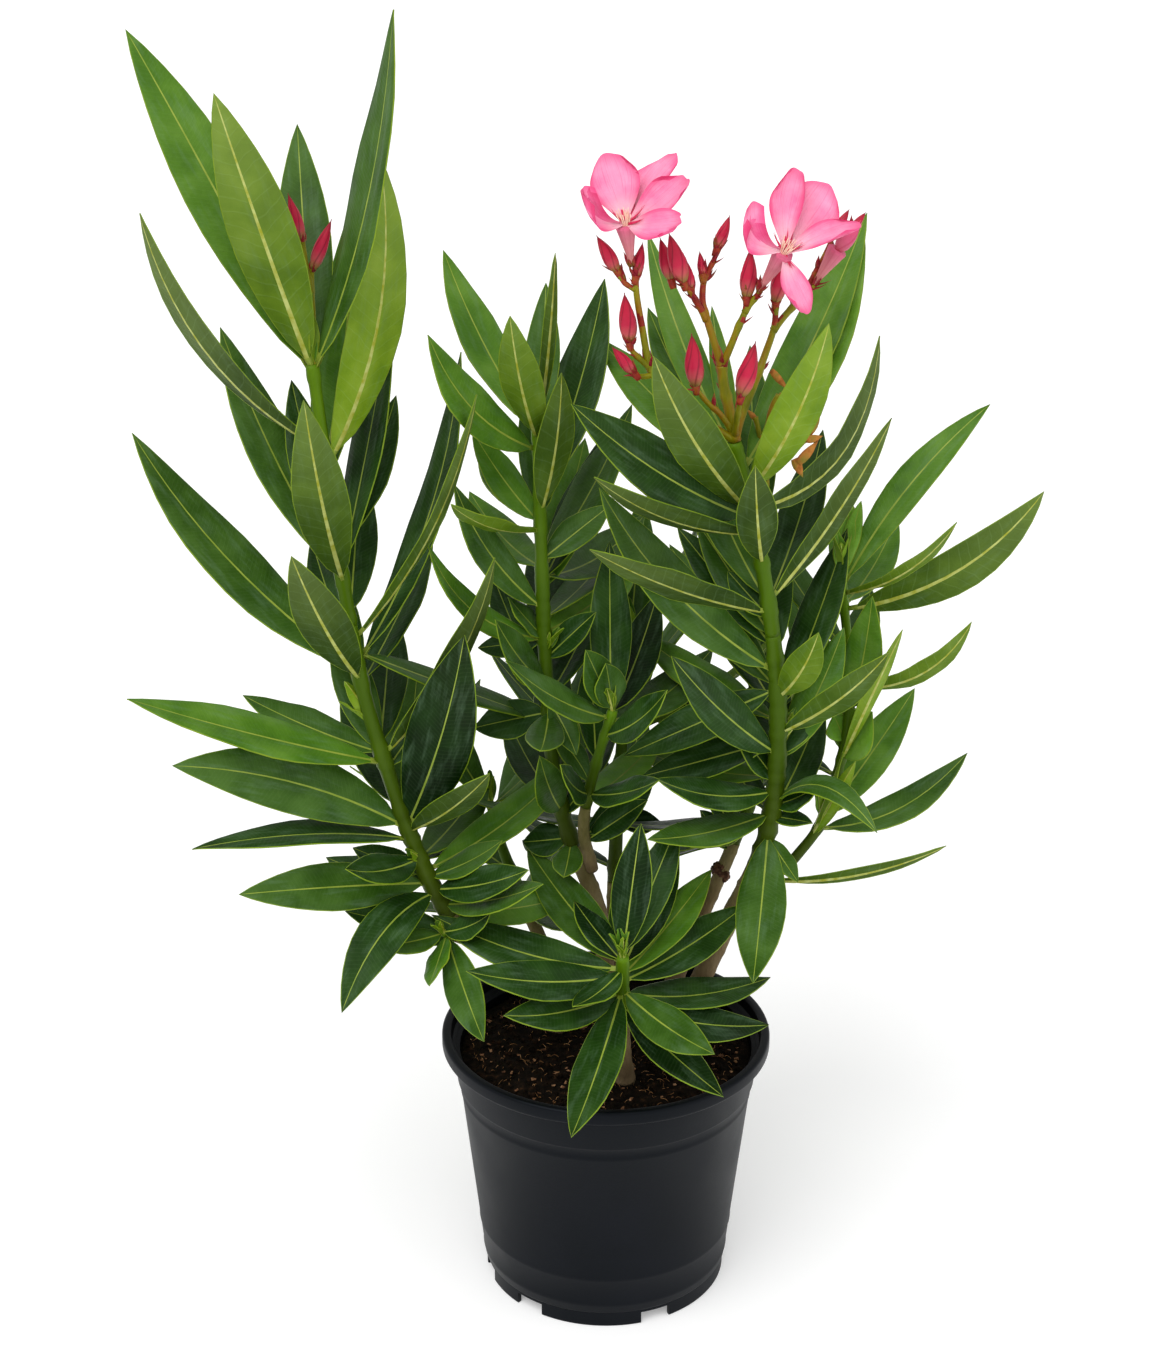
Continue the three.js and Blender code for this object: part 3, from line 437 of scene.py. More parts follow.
# Every shoot, in millimetres: the points that its stem runs through, its radius at both ends, the height
# where its leaves start and, where it bears two masses of them, the height where the upper one starts.
# A leaf is [height of its node, heading, rise, length], then turn, sag and breadth as far as they are
# given, as in the part's source, and often a word for its tone. That word gives the leaf's own colour and
# also paints light and shade: a darker word also stands for painted shade on a leaf that lies in shade, a
# brighter one for painted light on a leaf that the light falls on. Heading and rise belong to the straight
# line from node to tip. Turn says how far the upper side is turned to the viewpoint, sag how far the middle
# hangs below that line, and breadth how many times its usual width the leaf has.
SHOOTS = {
    "left": {
        "path": [[-28, 20, SOIL_TOP], [-55, 0, 200], [-94, -10, 243],
                 [-127, -16, 349], [-140, -18, 430], [-152, -20, 552]],
        "radii": [5.5, 3.2], "leafy": 233, "crown": 410,
        "leaves": [
            [545, 159, 60, 195, 0.5, 0, "fresh"], [548, 224, 70, 152, -0.7, 0, 1.12, "mid"],
            [547, 99, 57, 138, 0, "mid"], [548, 326, 72, 190, 0.5, 0.06, "mid"],
            [498, 335, 77, 162, -0.6, 0.07, 1.12, "fresh"], [508, 207, 55, 155, -0.2, 0.12, 0.85, "dark"],
            [500, 80, 58, 150, 0, "fresh"], [437, 139, 54, 150, 0, "mid"], [440, 64, 65, 140, 0, 0.02, "deep"],
            [434, 263, 59, 135, -0.4, "deep"], [379, 253, 49, 125, -0.4, "dark"],
            [334, 122, 50, 82, 0.5, "mid"], [383, 165, 45, 175, 0.3, 0.06, "mid"],
            [388, 34, 67, 175, 0.2, 0.08, 0.75, "deep"], [402, 0, 63, 150, -0.3, 0.07, 0.5, "deep"],
            [329, 203, 23, 150, 0.4, 0.02, "fresh"], [335, 158, 14, 88, 0.4, 0.02, "mid"],
            [334, 358, 61, 130, -0.4, "dark"], [300, 87, 30, 105, 0.3, 0.05, 1.2, "mid"],
            [395, 13, -25, 145, 0.3, 0, 0.8, "mid"], [290, 7, 73, 130, 0.8, 0.05, 1.4, "dark"],
            [289, 201, 24, 140, 0.8, -0.05, 1.2, "mid"], [282, 204, 8, 125, 0.2, -0.06, 0.85, "deep"],
            [288, 316, 39, 85, -0.5, "dark"], [268, 75, 0, 90, 0.5], [270, 70, 5, 105, 0.4, "mid"],
            [262, 141, -11, 80, 0.1], [270, 241, 18, 75, 0.6, "deep"],
            [254, 209, 10, 115, 0.8, -0.03, 1.05, "mid"], [248, 236, -24, 95, 0.8, -0.16, 1.1, "deep"],
            [262, 55, 8, 120, 0.3, "fresh"], [258, 351, 31, 50, 0.4, "mid"], [250, 323, 25, 75, 0.5, "deep"],
            [240, 319, 26, 85, 0.3, "mid"], [238, 10, 2, 75, 0.6, "fresh"],
        ],
        "back": {"from": 300, "step": 38, "count": 6, "opening": [70, 42], "length": [115, 95]},
    },
    "middle": {
        "path": [[2, 32, SOIL_TOP], [-4, 28, 215], [-25, 25, 281], [-33, 22, 354], [-36, 20, 430],
                 [-38, 20, 510]],
        "radii": [5.5, 3], "leafy": 260,
        "leaves": [
            [506, 128, 45, 120, 0, "fresh"], [496, 222, 45, 100, 0.7, 0.09, "fresh"],
            [503, 255, 57, 90, 0, "mid"], [507, 87, 40, 100, 0.8, 0.05, 0.8, "mid"],
            [507, 299, 78, 100, 0, 0.02, 0.35, "deep"], [470, 67, 48, 137, 0, 0.05, 1.2, "deep"],
            [462, 299, 73, 85, -0.1, "deep"], [452, 229, 23, 75, -0.2, "mid"], [458, 114, 11, 90, 0],
            [455, 157, 50, 62, 0.6, "fresh"], [406, 220, 54, 95, 0.7, 0.08, 0.85, "mid"],
            [388, 221, 42, 95, 0.5, 0.14, 0.8, "fresh"], [430, 61, 33, 125, 0, "mid"],
            [430, 116, 10, 100, 0.4, "fresh"], [425, 60, 2, 118, 0.4, "mid"], [400, 57, 20, 120, 0, "mid"],
            [392, 60, 6, 110, 0.5, "young"], [360, 242, 45, 80, 0.6, "mid"], [345, 267, 5, 75, 0, "mid"],
            [415, 72, 42, 115, 0.3, "fresh"], [300, 78, 19, 130, 0, "mid"], [282, 255, 49, 70, 0.6, "mid"],
            [268, 121, -26, 60, 0.4], [263, 265, 0, 40, 0.4, "mid"],
        ],
        "back": {"from": 285, "step": 34, "count": 6, "opening": [75, 45], "length": [95, 110]},
    },
    "inner": {
        "path": [[-8, 24, 246], [-13, 12, 280], [-6, 5, 320], [3, 0, 354]],
        "radii": [3.6, 2.6], "parent": "middle", "leafy": 292,
        "leaves": [
            [351, 72, 25, 100, 0, "dark"], [347, 57, 4, 115, 0, "mid"], [349, 221, 35, 90, 0.3, "mid"],
            [350, 90, 40, 100, 0, "deep"], [338, 303, 38, 75, 0.6, "deep"], [320, 93, 40, 70, 0, "deep"],
            [300, 251, 38, 60, 0.5], [300, 304, 26, 75, 0.4, "deep"], [296, 61, 4, 90, 0, "young"],
        ],
    },
    "right": {
        "path": [[46, 30, SOIL_TOP], [69, 22, 208], [92, 15, 275], [94, 5, 358], [82, -4, 440], [65, -12, 509]],
        "radii": [6, 3.6], "leafy": 252, "crown": 398,
        "leaves": [
            [500, 114, 42, 150, 0, 0.05, 0.62, "fresh"], [494, 118, 34, 120, 0],
            [505, 96, 34, 90, 0, 0.05, 0.5], [492, 51, 47, 165, 0.1, "fresh"],
            [484, 44, 54, 160, 0.2, 0.05, 1.1, "young"], [489, 130, 25, 140, 0, 0, "fresh"],
            [480, 316, 63, 110, -0.7, "fresh"], [470, 230, 49, 130, -0.6, "deep"],
            [466, 214, 34, 135, 0.7, 0.05, 1.15, "deep"], [472, 37, 42, 120, -0.5, 0.22, "dark"],
            [458, 209, 24, 115, -0.3, "dark"], [440, 259, 56, 80, 0, "dark"],
            [418, 44, 40, 130, -0.6, 0.03, 0.65, "dark"], [412, 200, 24, 130, -0.4, "dark"],
            [375, 196, 48, 152, 0.6, "mid"], [360, 300, 54, 60, -0.8, "mid"], [365, 125, 30, 115, 0.4, "mid"],
            [345, 125, 6, 120, 0.1, "fresh"], [338, 325, 43, 90, -0.6, 0.03, 0.8, "deep"],
            [324, 218, 44, 110, 0.7, "deep"], [318, 36, 57, 85, 0.6, "fresh"], [300, 216, 19, 90, 0.3, "deep"],
            [310, 135, -8, 110, 0.2, 0.05, 1.2, "fresh"], [286, 220, 7, 95, 0.3, "mid"],
            [292, 314, 5, 75, 0.2, -0.25, 0.8, "mid"], [275, 261, -32, 100, 0.4, 0.05, 1.15, "mid"],
            [262, 46, -67, 50, 0.3],
        ],
        "back": {"from": 285, "step": 33, "count": 6, "opening": [72, 48], "length": [105, 130]},
    },
    "side": {
        "path": [[73, 24, 216], [95, 40, 230], [113, 50, 243], [130, 57, 270], [141, 60, 335], [133, 60, 410]],
        "radii": [3.4, 2.6], "parent": "right", "leafy": 229,
        "leaves": [
            [405, 27, 45, 135, 0.7, -0.08, 0.75, "fresh"], [392, 338, 37, 135, -0.8, 0.08, 0.9, "deep"],
            [402, 320, 38, 90, -0.4, 0.08, 0.5], [408, 80, 34, 60, 0, "young"], [395, 64, 17, 95, 0.5, "fresh"],
            [345, 334, 36, 85, -0.6, 0.15, 0.65, "mid"], [352, 75, 21, 80, 0], [330, 278, 66, 90, 0.6, "fresh"],
            [300, 302, 63, 110, 0, 0, 0.4, "fresh"], [262, 52, 27, 115, 0.5, 0, "fresh"],
            [258, 28, 14, 110, 0.4, 0.13, 0.85, "mid"], [231, 349, 17, 105, 0, 0.065, 0.35, "deep"],
            [365, 130, 40, 105, 0], [325, 110, 35, 105, 0], [290, 150, 25, 90, 0],
        ],
    },
    "front": {
        "path": [[10, -40, SOIL_TOP], [8, -60, 200], [8, -72, 240]],
        "radii": [4.6, 3], "leafy": 196,
        "leaves": [
            [234, 117, 10, 120, 0.3, "mid"], [231, 134, -9, 120, 0.4, "deep"], [232, 73, 19, 115, 0, "dark"],
            [228, 84, 12, 120, 0, "deep"], [226, 59, 12, 100, 0, "fresh"], [222, 46, 5, 105, 0.6, "deep"],
            [216, 303, 1, 85, 0.6, "mid"], [216, 255, -15, 110, 0, "deep"], [226, 211, 17, 100, 0.6, "deep"],
            [214, 219, 10, 85, 0.7, "deep"], [205, 309, -13, 85, 0.5, "dark"], [214, 36, -13, 110, 0, "deep"],
            [208, 20, -20, 95, 0.2, "dark"], [231, 232, -5, 50, 0, "deep"], [236, 124, 20, 50, 0, "dark"],
        ],
    },
    "twig": {
        "path": [[-78, -5, 214], [-86, -16, 222], [-92, -24, 230]],
        "radii": [2.2, 1.8], "parent": "left", "leafy": 222,
        "leaves": [
            [229, 221, 10, 50, 0.1, "mid"], [227, 258, -18, 40, 0], [227, 288, -20, 80, 0, "mid"],
            [230, 340, 30, 35, 0, "deep"],
        ],
    },
    "rear": {
        "path": [[36, 46, SOIL_TOP], [58, 56, 200], [74, 60, 240], [88, 62, 280], [96, 66, 320]],
        "radii": [5, 2.6], "leafy": 246,
        "leaves": [
            [300, 122, 0, 120, 0.4], [285, 124, -9, 120, 0.4], [310, 150, 5, 90, 0.4, "fresh"],
            [262, 235, 3, 60, 0], [310, 70, 10, 90, 0.4], [268, 149, -35, 70, 0.5], [318, 100, 45, 110, 0],
            [316, 20, 30, 80, 0], [280, 60, 5, 100, 0], [256, 95, 0, 90, 0],
        ],
    },
    "back": {
        "path": [[6, 54, SOIL_TOP], [6, 72, 220], [10, 86, 300], [14, 92, 360]],
        "radii": [5.2, 2.6], "leafy": 215,
        "whorls": {"from": 224, "step": 27, "count": 6, "turn": 20, "opening": [82, 30], "length": [90, 120]},
    },
    "far": {
        "path": [[-24, 50, SOIL_TOP], [-44, 62, 195], [-62, 70, 240], [-68, 72, 266]],
        "radii": [4.6, 2.4], "leafy": 196,
        "whorls": {"from": 204, "step": 20, "count": 4, "turn": 75, "opening": [84, 44], "length": [85, 105]},
    },
}


def curve_point(path, share):
    """A point on the smooth curve through a path's points, which share their distance evenly."""
    points = [Vector(point) for point in path]
    points = [2 * points[0] - points[1], *points, 2 * points[-1] - points[-2]]
    place = min(max(share, 0), 1) * (len(path) - 1)
    span = min(int(place), len(path) - 2)
    t = place - span
    a, b, c, d = points[span:span + 4]
    return 0.5 * (2 * b + (c - a) * t + (2 * a - 5 * b + 4 * c - d) * t * t + (3 * b - a - 3 * c + d) * t ** 3)


def curve_ahead(path, share):
    """The unit vector along the curve."""
    step = 0.0001
    return (curve_point(path, min(share + step, 1)) - curve_point(path, max(share - step, 0))).normalized()


def curve_length(path, start=0, end=1, steps=60):
    points = [curve_point(path, blend(start, end, i / steps)) for i in range(steps + 1)]
    return sum((b - a).length for a, b in zip(points, points[1:]))


def share_at_height(path, height):
    """Where a rising stem reaches a height, as a share of its curve."""
    low, high = 0.0, 1.0
    while high - low > 1e-9:
        middle = (low + high) / 2
        if curve_point(path, middle).z < height:
            low = middle
        else:
            high = middle
    return low


def tube(mesh, path, start, end, radius_at, sides, ring, material=0):
    """A limb along part of a curve: a capped cylinder cut into rings and bent on to the curve. The radius
    comes from the share of the curve and the turn round it."""
    verts = rod(mesh, sides, max(1, round(curve_length(path, start, end) / ring) - 1))
    frames = {}
    for vert in verts:
        along = round(vert.co.z + 0.5, 6)
        if along not in frames:
            share = blend(start, end, along)
            ahead = curve_ahead(path, share)
            side = ahead.cross(AWAY).normalized()
            frames[along] = share, curve_point(path, share), side, side.cross(ahead)
        share, centre, side, out = frames[along]
        turn = math.atan2(vert.co.y, vert.co.x)
        radius = radius_at(share, turn)
        vert.co = (centre + side * math.cos(turn) * radius + out * math.sin(turn) * radius) * MM
    for face in faces_of(verts):
        face.material_index = material
    return verts


def bark_radius(shoot, seed):
    """The radius of a woody stem with its flare, its old leaf rings, furrows and small raised pores."""
    path, radii = shoot["path"], shoot["radii"]
    length = curve_length(path)
    foot = curve_point(path, 0).z

    def radius_at(share, turn):
        centre = curve_point(path, share)
        radius = blend(radii[0], radii[1], share)
        if "parent" not in shoot:
            radius *= 1 + FLARE * math.exp((foot - centre.z) / FLARE_HEIGHT)
        run = share * length
        from_ring = run % NODE_SPACING - NODE_SPACING / 2
        ring = LEAF_RING_SWELLING * math.exp(-(from_ring / LEAF_RING_HEIGHT) ** 2)
        spot = Vector((math.cos(turn), math.sin(turn), 0))
        furrow = FURROW_DEPTH * noise.fractal(spot * 1.6 + Vector((seed, 0, run * 0.035)), 1.0, 2.0, 4)
        pore = noise.noise(spot * 4 + Vector((seed, 5, run * 0.55))) - PORE_RARITY
        pore = max(0, pore) * PORE_HEIGHT
        return radius * (1 + ring + furrow + pore)
    return radius_at


def own_map(tree):
    """A piece's own map: both of its numbers together, and then each of them."""
    both = tree.nodes["Texture Coordinate"].outputs["UV"]
    apart = node(tree, "SeparateXYZ", {"Vector": both})
    return both, apart.outputs["X"], apart.outputs["Y"]


def stem_finish(name, tones, stops, strength, patch, roughness, grain, relief, gloss):
    """A stem's finish: over its patchy tones lies a colour that runs from the old end of the stem to the
    young one, by the first number of the stem's own map."""
    material = finish(name, tones, patch, roughness, grain, relief, gloss, stretch=(1, 1, 0.35),
                      spread=(0.28, 0.72))
    tree = material.node_tree
    age = own_map(tree)[1]
    patches = tree.nodes["Color Ramp"].outputs["Color"]
    coat(tree, {"Base Color": layer(tree, patches, ramp(tree, age, stops), strength)})
    return material


def map_age(mesh, foot, top, start=0):
    """Gives every corner of a stem its age on the stem's own map, by its height between foot and top."""
    maps = mesh.loops.layers.uv.new("age")
    for face in mesh.faces:
        for loop in face.loops:
            age = (loop.vert.co.z / MM - foot) / (top - foot) + start
            loop[maps].uv = (min(1, max(0, age)), 0)


bark = stem_finish("bark", [tone(66, 52, 36), tone(110, 92, 66), tone(140, 120, 90), tone(168, 148, 116)],
                   [(0, tone(108, 90, 64)), (0.6, tone(110, 94, 58)), (1, tone(84, 90, 24))], strength=0.55,
                   patch=0.011, roughness=(0.9, 0.72), grain=0.0009, relief=0.0005, gloss=0.25)
for number, (name, shoot) in enumerate(SHOOTS.items()):
    path = shoot["path"]
    leafy = share_at_height(path, shoot["leafy"])
    stem = bmesh.new()
    tube(stem, path, 0, leafy, bark_radius(shoot, number * 7.3), BARK_SIDES, BARK_RING)
    map_age(stem, curve_point(path, 0).z, curve_point(path, leafy).z, FORK_AGE if "parent" in shoot else 0)
    piece("bark_" + name, stem, [bark], ["stem_" + name])

# ---- Knot ----
# Where a twig was once cut from the rear stem, the wound has closed over in a dark woody knot, a little
# wider than the stem and lumpy all round.
KNOT_HEIGHT = 228
KNOT_RADIUS = 5.6
KNOT_LUMPS = [(260, 0.5), (900, 0.2)]
knot_brown = finish("knot_brown", [tone(46, 28, 20), tone(78, 50, 36), tone(112, 78, 56)], patch=0.004,
                    roughness=(0.9, 0.75), grain=0.0009, relief=0.0006, gloss=0.2)
path = SHOOTS["rear"]["path"]
middle = curve_point(path, share_at_height(path, KNOT_HEIGHT)) * MM
knot = bmesh.new()
bmesh.ops.create_icosphere(knot, subdivisions=4, radius=KNOT_RADIUS * MM, matrix=Matrix.Translation(middle))
for vert in knot.verts:
    out = vert.co - middle
    vert.co = middle + out * (1 + sum(height * noise.noise(out * fineness) for fineness, height in KNOT_LUMPS))
piece("bark_knot", knot, [knot_brown])

# ---- Shoots ----
# Above the wood each stem is green and soft, a little swollen where its leaves stand and faintly ribbed
# between them. It is dull and brownish low down and a bright yellow-green near the tip, by its own map.
SHOOT_SIDES = 18
SHOOT_RING = 2.4
SWELLING = 0.2
SWELLING_HEIGHT = 2.6
RIB_HEIGHT = 0.025
WHORL = 3


def whorl_rows(rule):
    """Whorls of three leaves, each turned by half a step from the one below, opening wider down the stem."""
    rows = []
    for k in range(rule["count"]):
        share = k / (rule["count"] - 1)
        for leaf in range(WHORL):
            rows.append([rule["from"] + k * rule["step"], rule["turn"] + (k + 2 * leaf) * 180 / WHORL,
                         90 - blend(*rule["opening"], share),
                         blend(*rule["length"], math.sin(math.pi * share))])
    return rows


def back_rows(rule):
    """On the side that the photograph hides, every second node has two leaves, the others one."""
    rows = []
    for k in range(rule["count"]):
        share = k / (rule["count"] - 1)
        for heading in ([90] if k % 2 else [68, 112]):
            rows.append([rule["from"] + k * rule["step"], heading, 90 - blend(*rule["opening"], share),
                         blend(*rule["length"], share)])
    return rows


def mass_parts(name, shoot):
    """The masses of a shoot as (name, height of its foot, height of its top)."""
    if "crown" not in shoot:
        return [(name, shoot["leafy"], math.inf)]
    return [(name + "_lower", shoot["leafy"], shoot["crown"]), (name + "_upper", shoot["crown"], math.inf)]


def shoot_rows(shoot):
    rows = list(shoot.get("leaves", []))
    if "back" in shoot:
        rows += back_rows(shoot["back"])
    if "whorls" in shoot:
        rows += whorl_rows(shoot["whorls"])
    return rows


def shoot_radius(shoot, heights, seed):
    """The radius of a green stem, swollen at its nodes and faintly ribbed between them."""
    path, radii = shoot["path"], shoot["radii"]

    def radius_at(share, turn):
        height = curve_point(path, share).z
        near = min(abs(height - joint) for joint in heights)
        swell = SWELLING * math.exp(-((near / SWELLING_HEIGHT) ** 2))
        rib = RIB_HEIGHT * math.cos(3 * turn + share * 9 + seed)
        return blend(radii[0], radii[1], share) * (1 + swell + rib)
    return radius_at


shoot_green = stem_finish("shoot_green", [tone(52, 72, 3), tone(68, 94, 4), tone(88, 116, 12)],
                          [(0, tone(56, 66, 8)), (0.3, tone(58, 82, 3)), (0.65, tone(70, 102, 3)),
                           (1, tone(94, 132, 8))], strength=0.7, patch=0.013, roughness=(0.52, 0.38),
                          grain=0.0012, relief=0.0001, gloss=0.13)
for number, (name, shoot) in enumerate(SHOOTS.items()):
    path = shoot["path"]
    heights = sorted({row[0] for row in shoot_rows(shoot)})
    top = curve_point(path, 1).z
    for mass, low, high in mass_parts(name, shoot):
        stem = bmesh.new()
        start = share_at_height(path, low)
        end = 1 if high > top else share_at_height(path, high)
        tube(stem, path, start, end, shoot_radius(shoot, heights, number), SHOOT_SIDES, SHOOT_RING)
        map_age(stem, shoot["leafy"], top)
        piece("shoot_" + mass, stem, [shoot_green])

# ---- Leaves ----
# Leathery lance-shaped leaves stand in whorls of three on short stalks. Each has a dark satin upper side
# with fine cross veins, a paler dull underside, and a thin yellow-green margin and midrib, which stands
# out below. Leaves near the tips are younger and brighter.
LEAF_LEAST_WIDTH = 13
LEAF_WIDENING = 0.115
LEAF_SAG = 0.05
LEAF_SAG_SPREAD = 0.04
LEAF_ROLL_SPREAD = 24
LEAF_FOLD = 0.2
LEAF_THICKNESS = 0.55
STALK_WIDTH = 2.6
RIB_WIDTHS = [1.3, 0.35]
UNDER_RIB_WIDTHS = [2.6, 0.35]
MARGIN_WIDTH = 0.42
KEEL_HEIGHTS = [1.5, 0.25]
RIB_GROOVE = 0.12
EDGE_DROP = 0.25
EDGE_THINNING = 0.45
EDGE_WAVES = (0.2, 0.9)
WAVE_COUNTS = (1.5, 3)
END_CROWDING = 0.3
BLADE_FULLNESS = 0.85
STALK_END = 0.015
STALK_WIDENING = 0.12
TIP_SHARE = 0.05
LEAF_BEND = 0.02
LEAF_TWIST = 14
BLADE_STEPS = 13
# The lines across a blade: edge, inner edge of the margin, middle of the half, side of the midrib
BLADE_LINES = ["edge", "margin", "middle", "rib", "rib", "middle", "margin", "edge"]
NODE_MATCH = 0.35
VEIN_SLANT = 0.6
VEIN_STRENGTH = 0.6
# Pale veins, a painted bluish sheen laid on in streaks, and yellow towards the tip
VEIN_PALE, PAINTED_SHEEN_BLUISH, TIP_YELLOW = tone(70, 88, 58), tone(112, 142, 112), tone(150, 172, 92)
# Where the streaks of painted sheen start and where they reach full strength
PAINTED_SHEEN_EDGES = (0.5, 0.78)
# Every tone word, from the oldest leaves to the youngest and at the same time from painted shade to
# painted light, with its shades and its two roughnesses, and for the upper side its gloss
UPPER_SHADES = {
    "dark": [(7, 27, 3), (12, 37, 5), (21, 48, 11), (0.36, 0.52), 0.1],
    "deep": [(22, 50, 8), (31, 62, 13), (44, 75, 24), (0.36, 0.52), 0.12],
    "mid": [(42, 75, 13), (55, 89, 23), (68, 102, 36), (0.36, 0.52), 0.14],
    "fresh": [(62, 104, 18), (77, 119, 27), (92, 132, 42), (0.36, 0.5), 0.14],
    "young": [(94, 142, 36), (110, 158, 46), (128, 172, 66), (0.38, 0.5), 0.14],
}
UNDER_SHADES = {
    "dark": [(36, 60, 5), (46, 70, 9), (58, 82, 18), (0.66, 0.55)],
    "deep": [(50, 78, 5), (60, 88, 8), (73, 101, 18), (0.66, 0.55)],
    "mid": [(74, 104, 8), (88, 118, 14), (102, 130, 30), (0.66, 0.55)],
    "fresh": [(96, 130, 10), (112, 144, 18), (128, 156, 40), (0.66, 0.52)],
    "young": [(112, 148, 30), (126, 162, 42), (140, 174, 60), (0.64, 0.5)],
}


def relief_over(tree, source, lift, strength=1):
    """Lays a second relief over a finish's own grain."""
    ridges = node(tree, "Bump", {"Height": source, "Distance": lift, "Strength": strength,
                                 "Normal": tree.nodes["Bump"].outputs["Normal"]})
    coat(tree, {"Normal": ridges.outputs["Normal"]})


def vein_finish(name, tones, roughness, vein_lift, gloss=0.14, veins_show=0.1, marks=0.3,
                vein_pitch=1.25, vein_thin=0.72, wander=2.6, tip_pale=0.02):
    """A leaf's finish: its colour drifts between close tones, fine cross veins follow the leaf's own map,
    where one unit is a centimetre, a painted bluish sheen lies on it in long soft streaks as strong as its
    marks, and it grows paler towards the tip."""
    material = finish(name, tones, patch=0.022, roughness=roughness, grain=0.0045, relief=0.00045, gloss=gloss)
    tree = material.node_tree
    both, along = own_map(tree)[:2]
    veins = node(tree, "TexWave", {"Vector": both, "Scale": vein_pitch, "Distortion": wander, "Detail": 2},
                 bands_direction="X").outputs["Fac"]
    relief_over(tree, amount(tree, veins, vein_thin, 1), vein_lift, VEIN_STRENGTH)
    # Long soft streaks of painted bluish sheen along the leaf
    streaks = node(tree, "Mapping", {"Vector": both, "Scale": (0.3, 1.7, 1)}).outputs["Vector"]
    painted_sheen = node(tree, "TexNoise", {"Vector": streaks, "Scale": 1.3, "Detail": 6, "Roughness": 0.62})
    colour = layer(tree, tree.nodes["Color Ramp"].outputs["Color"], VEIN_PALE,
                   amount(tree, veins, vein_thin, 1, veins_show), "SCREEN")
    colour = layer(tree, colour, PAINTED_SHEEN_BLUISH, amount(tree, painted_sheen.outputs["Fac"], *PAINTED_SHEEN_EDGES, marks))
    colour = layer(tree, colour, TIP_YELLOW, amount(tree, along, 1.5, 15, tip_pale, smooth=True))
    coat(tree, {"Base Color": colour})
    return material


leaf_finishes = [vein_finish("leaf_" + word, [tone(*shade) for shade in shades], roughness,
                             vein_lift=0.00006, gloss=gloss)
                 for word, (*shades, roughness, gloss) in UPPER_SHADES.items()]
leaf_finishes += [vein_finish("under_" + word, [tone(*shade) for shade in shades], roughness,
                              vein_lift=0.0001, veins_show=0.34, marks=0.2, vein_pitch=0.42,
                              vein_thin=0.95, wander=5, tip_pale=0.28)
                  for word, (*shades, roughness) in UNDER_SHADES.items()]
RIB_UPPER, RIB_UNDER, MARGIN = range(len(leaf_finishes), len(leaf_finishes) + 3)
leaf_finishes += [finish(name, tones, patch, roughness, grain=0.001, relief=0.00005, gloss=0.25)
                  for name, tones, patch, roughness in [
                      ("rib_upper", [tone(124, 146, 44), tone(150, 166, 64)], 0.01, (0.5, 0.42)),
                      ("rib_under", [tone(152, 156, 34), tone(186, 194, 112)], 0.005, (0.55, 0.45)),
                      ("margin_green", [tone(102, 130, 14), tone(128, 152, 28)], 0.01, (0.5, 0.42))]]
TONES = list(UPPER_SHADES)


def blade_pattern():
    """One flat blade as a closed sheet: for every vertex its step along, its line across and its side, and
    the faces with the part of the leaf that they show. The faces are turned round, because length, breadth
    and upper side of a grown leaf make a left-handed frame."""
    sheet = bmesh.new()
    strips = len(BLADE_LINES) - 1
    bmesh.ops.create_grid(sheet, x_segments=BLADE_STEPS, y_segments=strips, size=0.5)
    bmesh.ops.solidify(sheet, geom=sheet.faces[:], thickness=0.1)
    bmesh.ops.recalc_face_normals(sheet, faces=sheet.faces)
    sheet.verts.ensure_lookup_table()
    middle = sum(vert.co.z for vert in sheet.verts) / len(sheet.verts)
    step = np.array([round((vert.co.x + 0.5) * BLADE_STEPS) for vert in sheet.verts])
    line = np.array([round((vert.co.y + 0.5) * strips) for vert in sheet.verts])
    upper = np.array([vert.co.z > middle for vert in sheet.verts])
    faces, parts = [], []
    for face in sheet.faces:
        faces.append([vert.index for vert in reversed(face.verts[:])])
        strip = math.floor((face.calc_center_median().y + 0.5) * strips)
        if face.calc_center_median().x + 0.5 < 1 / BLADE_STEPS:
            parts.append("rib_upper")
        elif abs(face.normal.z) < 0.5 or strip in (0, strips - 1):
            parts.append("margin")
        elif strip == strips // 2:
            parts.append("rib_upper" if face.normal.z > 0 else "rib_under")
        else:
            parts.append("upper" if face.normal.z > 0 else "under")
    sheet.free()
    return step, line, upper, np.array(faces), parts


BLADE_STEP, BLADE_LINE, BLADE_UPPER, BLADE_FACES, BLADE_PARTS = blade_pattern()
LINE_SIDE = np.where(BLADE_LINE < len(BLADE_LINES) / 2, -1.0, 1.0)
LINE_KIND = np.array([BLADE_LINES[line] for line in BLADE_LINE])


def across(way, chord):
    """The unit vector square to a chord that points most nearly the given way."""
    return (way - chord * way.dot(chord)).normalized()


def towards(heading, rise):
    turn, lift = math.radians(heading), math.radians(rise)
    return Vector((math.cos(turn) * math.cos(lift), math.sin(turn) * math.cos(lift), math.sin(lift)))


def leaf_at(path, row, draws, nudge):
    """A leaf by where it stands, where it points and how it curls and rolls, as in the part's source. The
    nudge turns it a little to the viewer and upwards, where the straight way is taken."""
    height, heading, rise, length, *more = [value for value in row if not isinstance(value, str)]
    turn, sag, breadth = [*more, *[0, LEAF_SAG, 1][len(more):]]
    share = share_at_height(path, height)
    foot = curve_point(path, share)
    sight = (VIEWPOINT - foot).normalized()
    chord = (towards(heading, rise) + sight * nudge[0] + UP * nudge[1]).normalized()
    roll = (draws[0] - 0.5) * LEAF_ROLL_SPREAD * (1 - abs(turn))
    face = across(curve_ahead(path, share), chord) * (1 - abs(turn)) + across(sight, chord) * turn
    face = Matrix.Rotation(math.radians(roll), 3, chord) @ face.normalized()
    return {"foot": foot, "chord": chord, "face": face, "up": across(UP, chord), "length": length,
            "width": (LEAF_LEAST_WIDTH + LEAF_WIDENING * length) * breadth,
            "sag": sag + (draws[1] - 0.5) * LEAF_SAG_SPREAD}


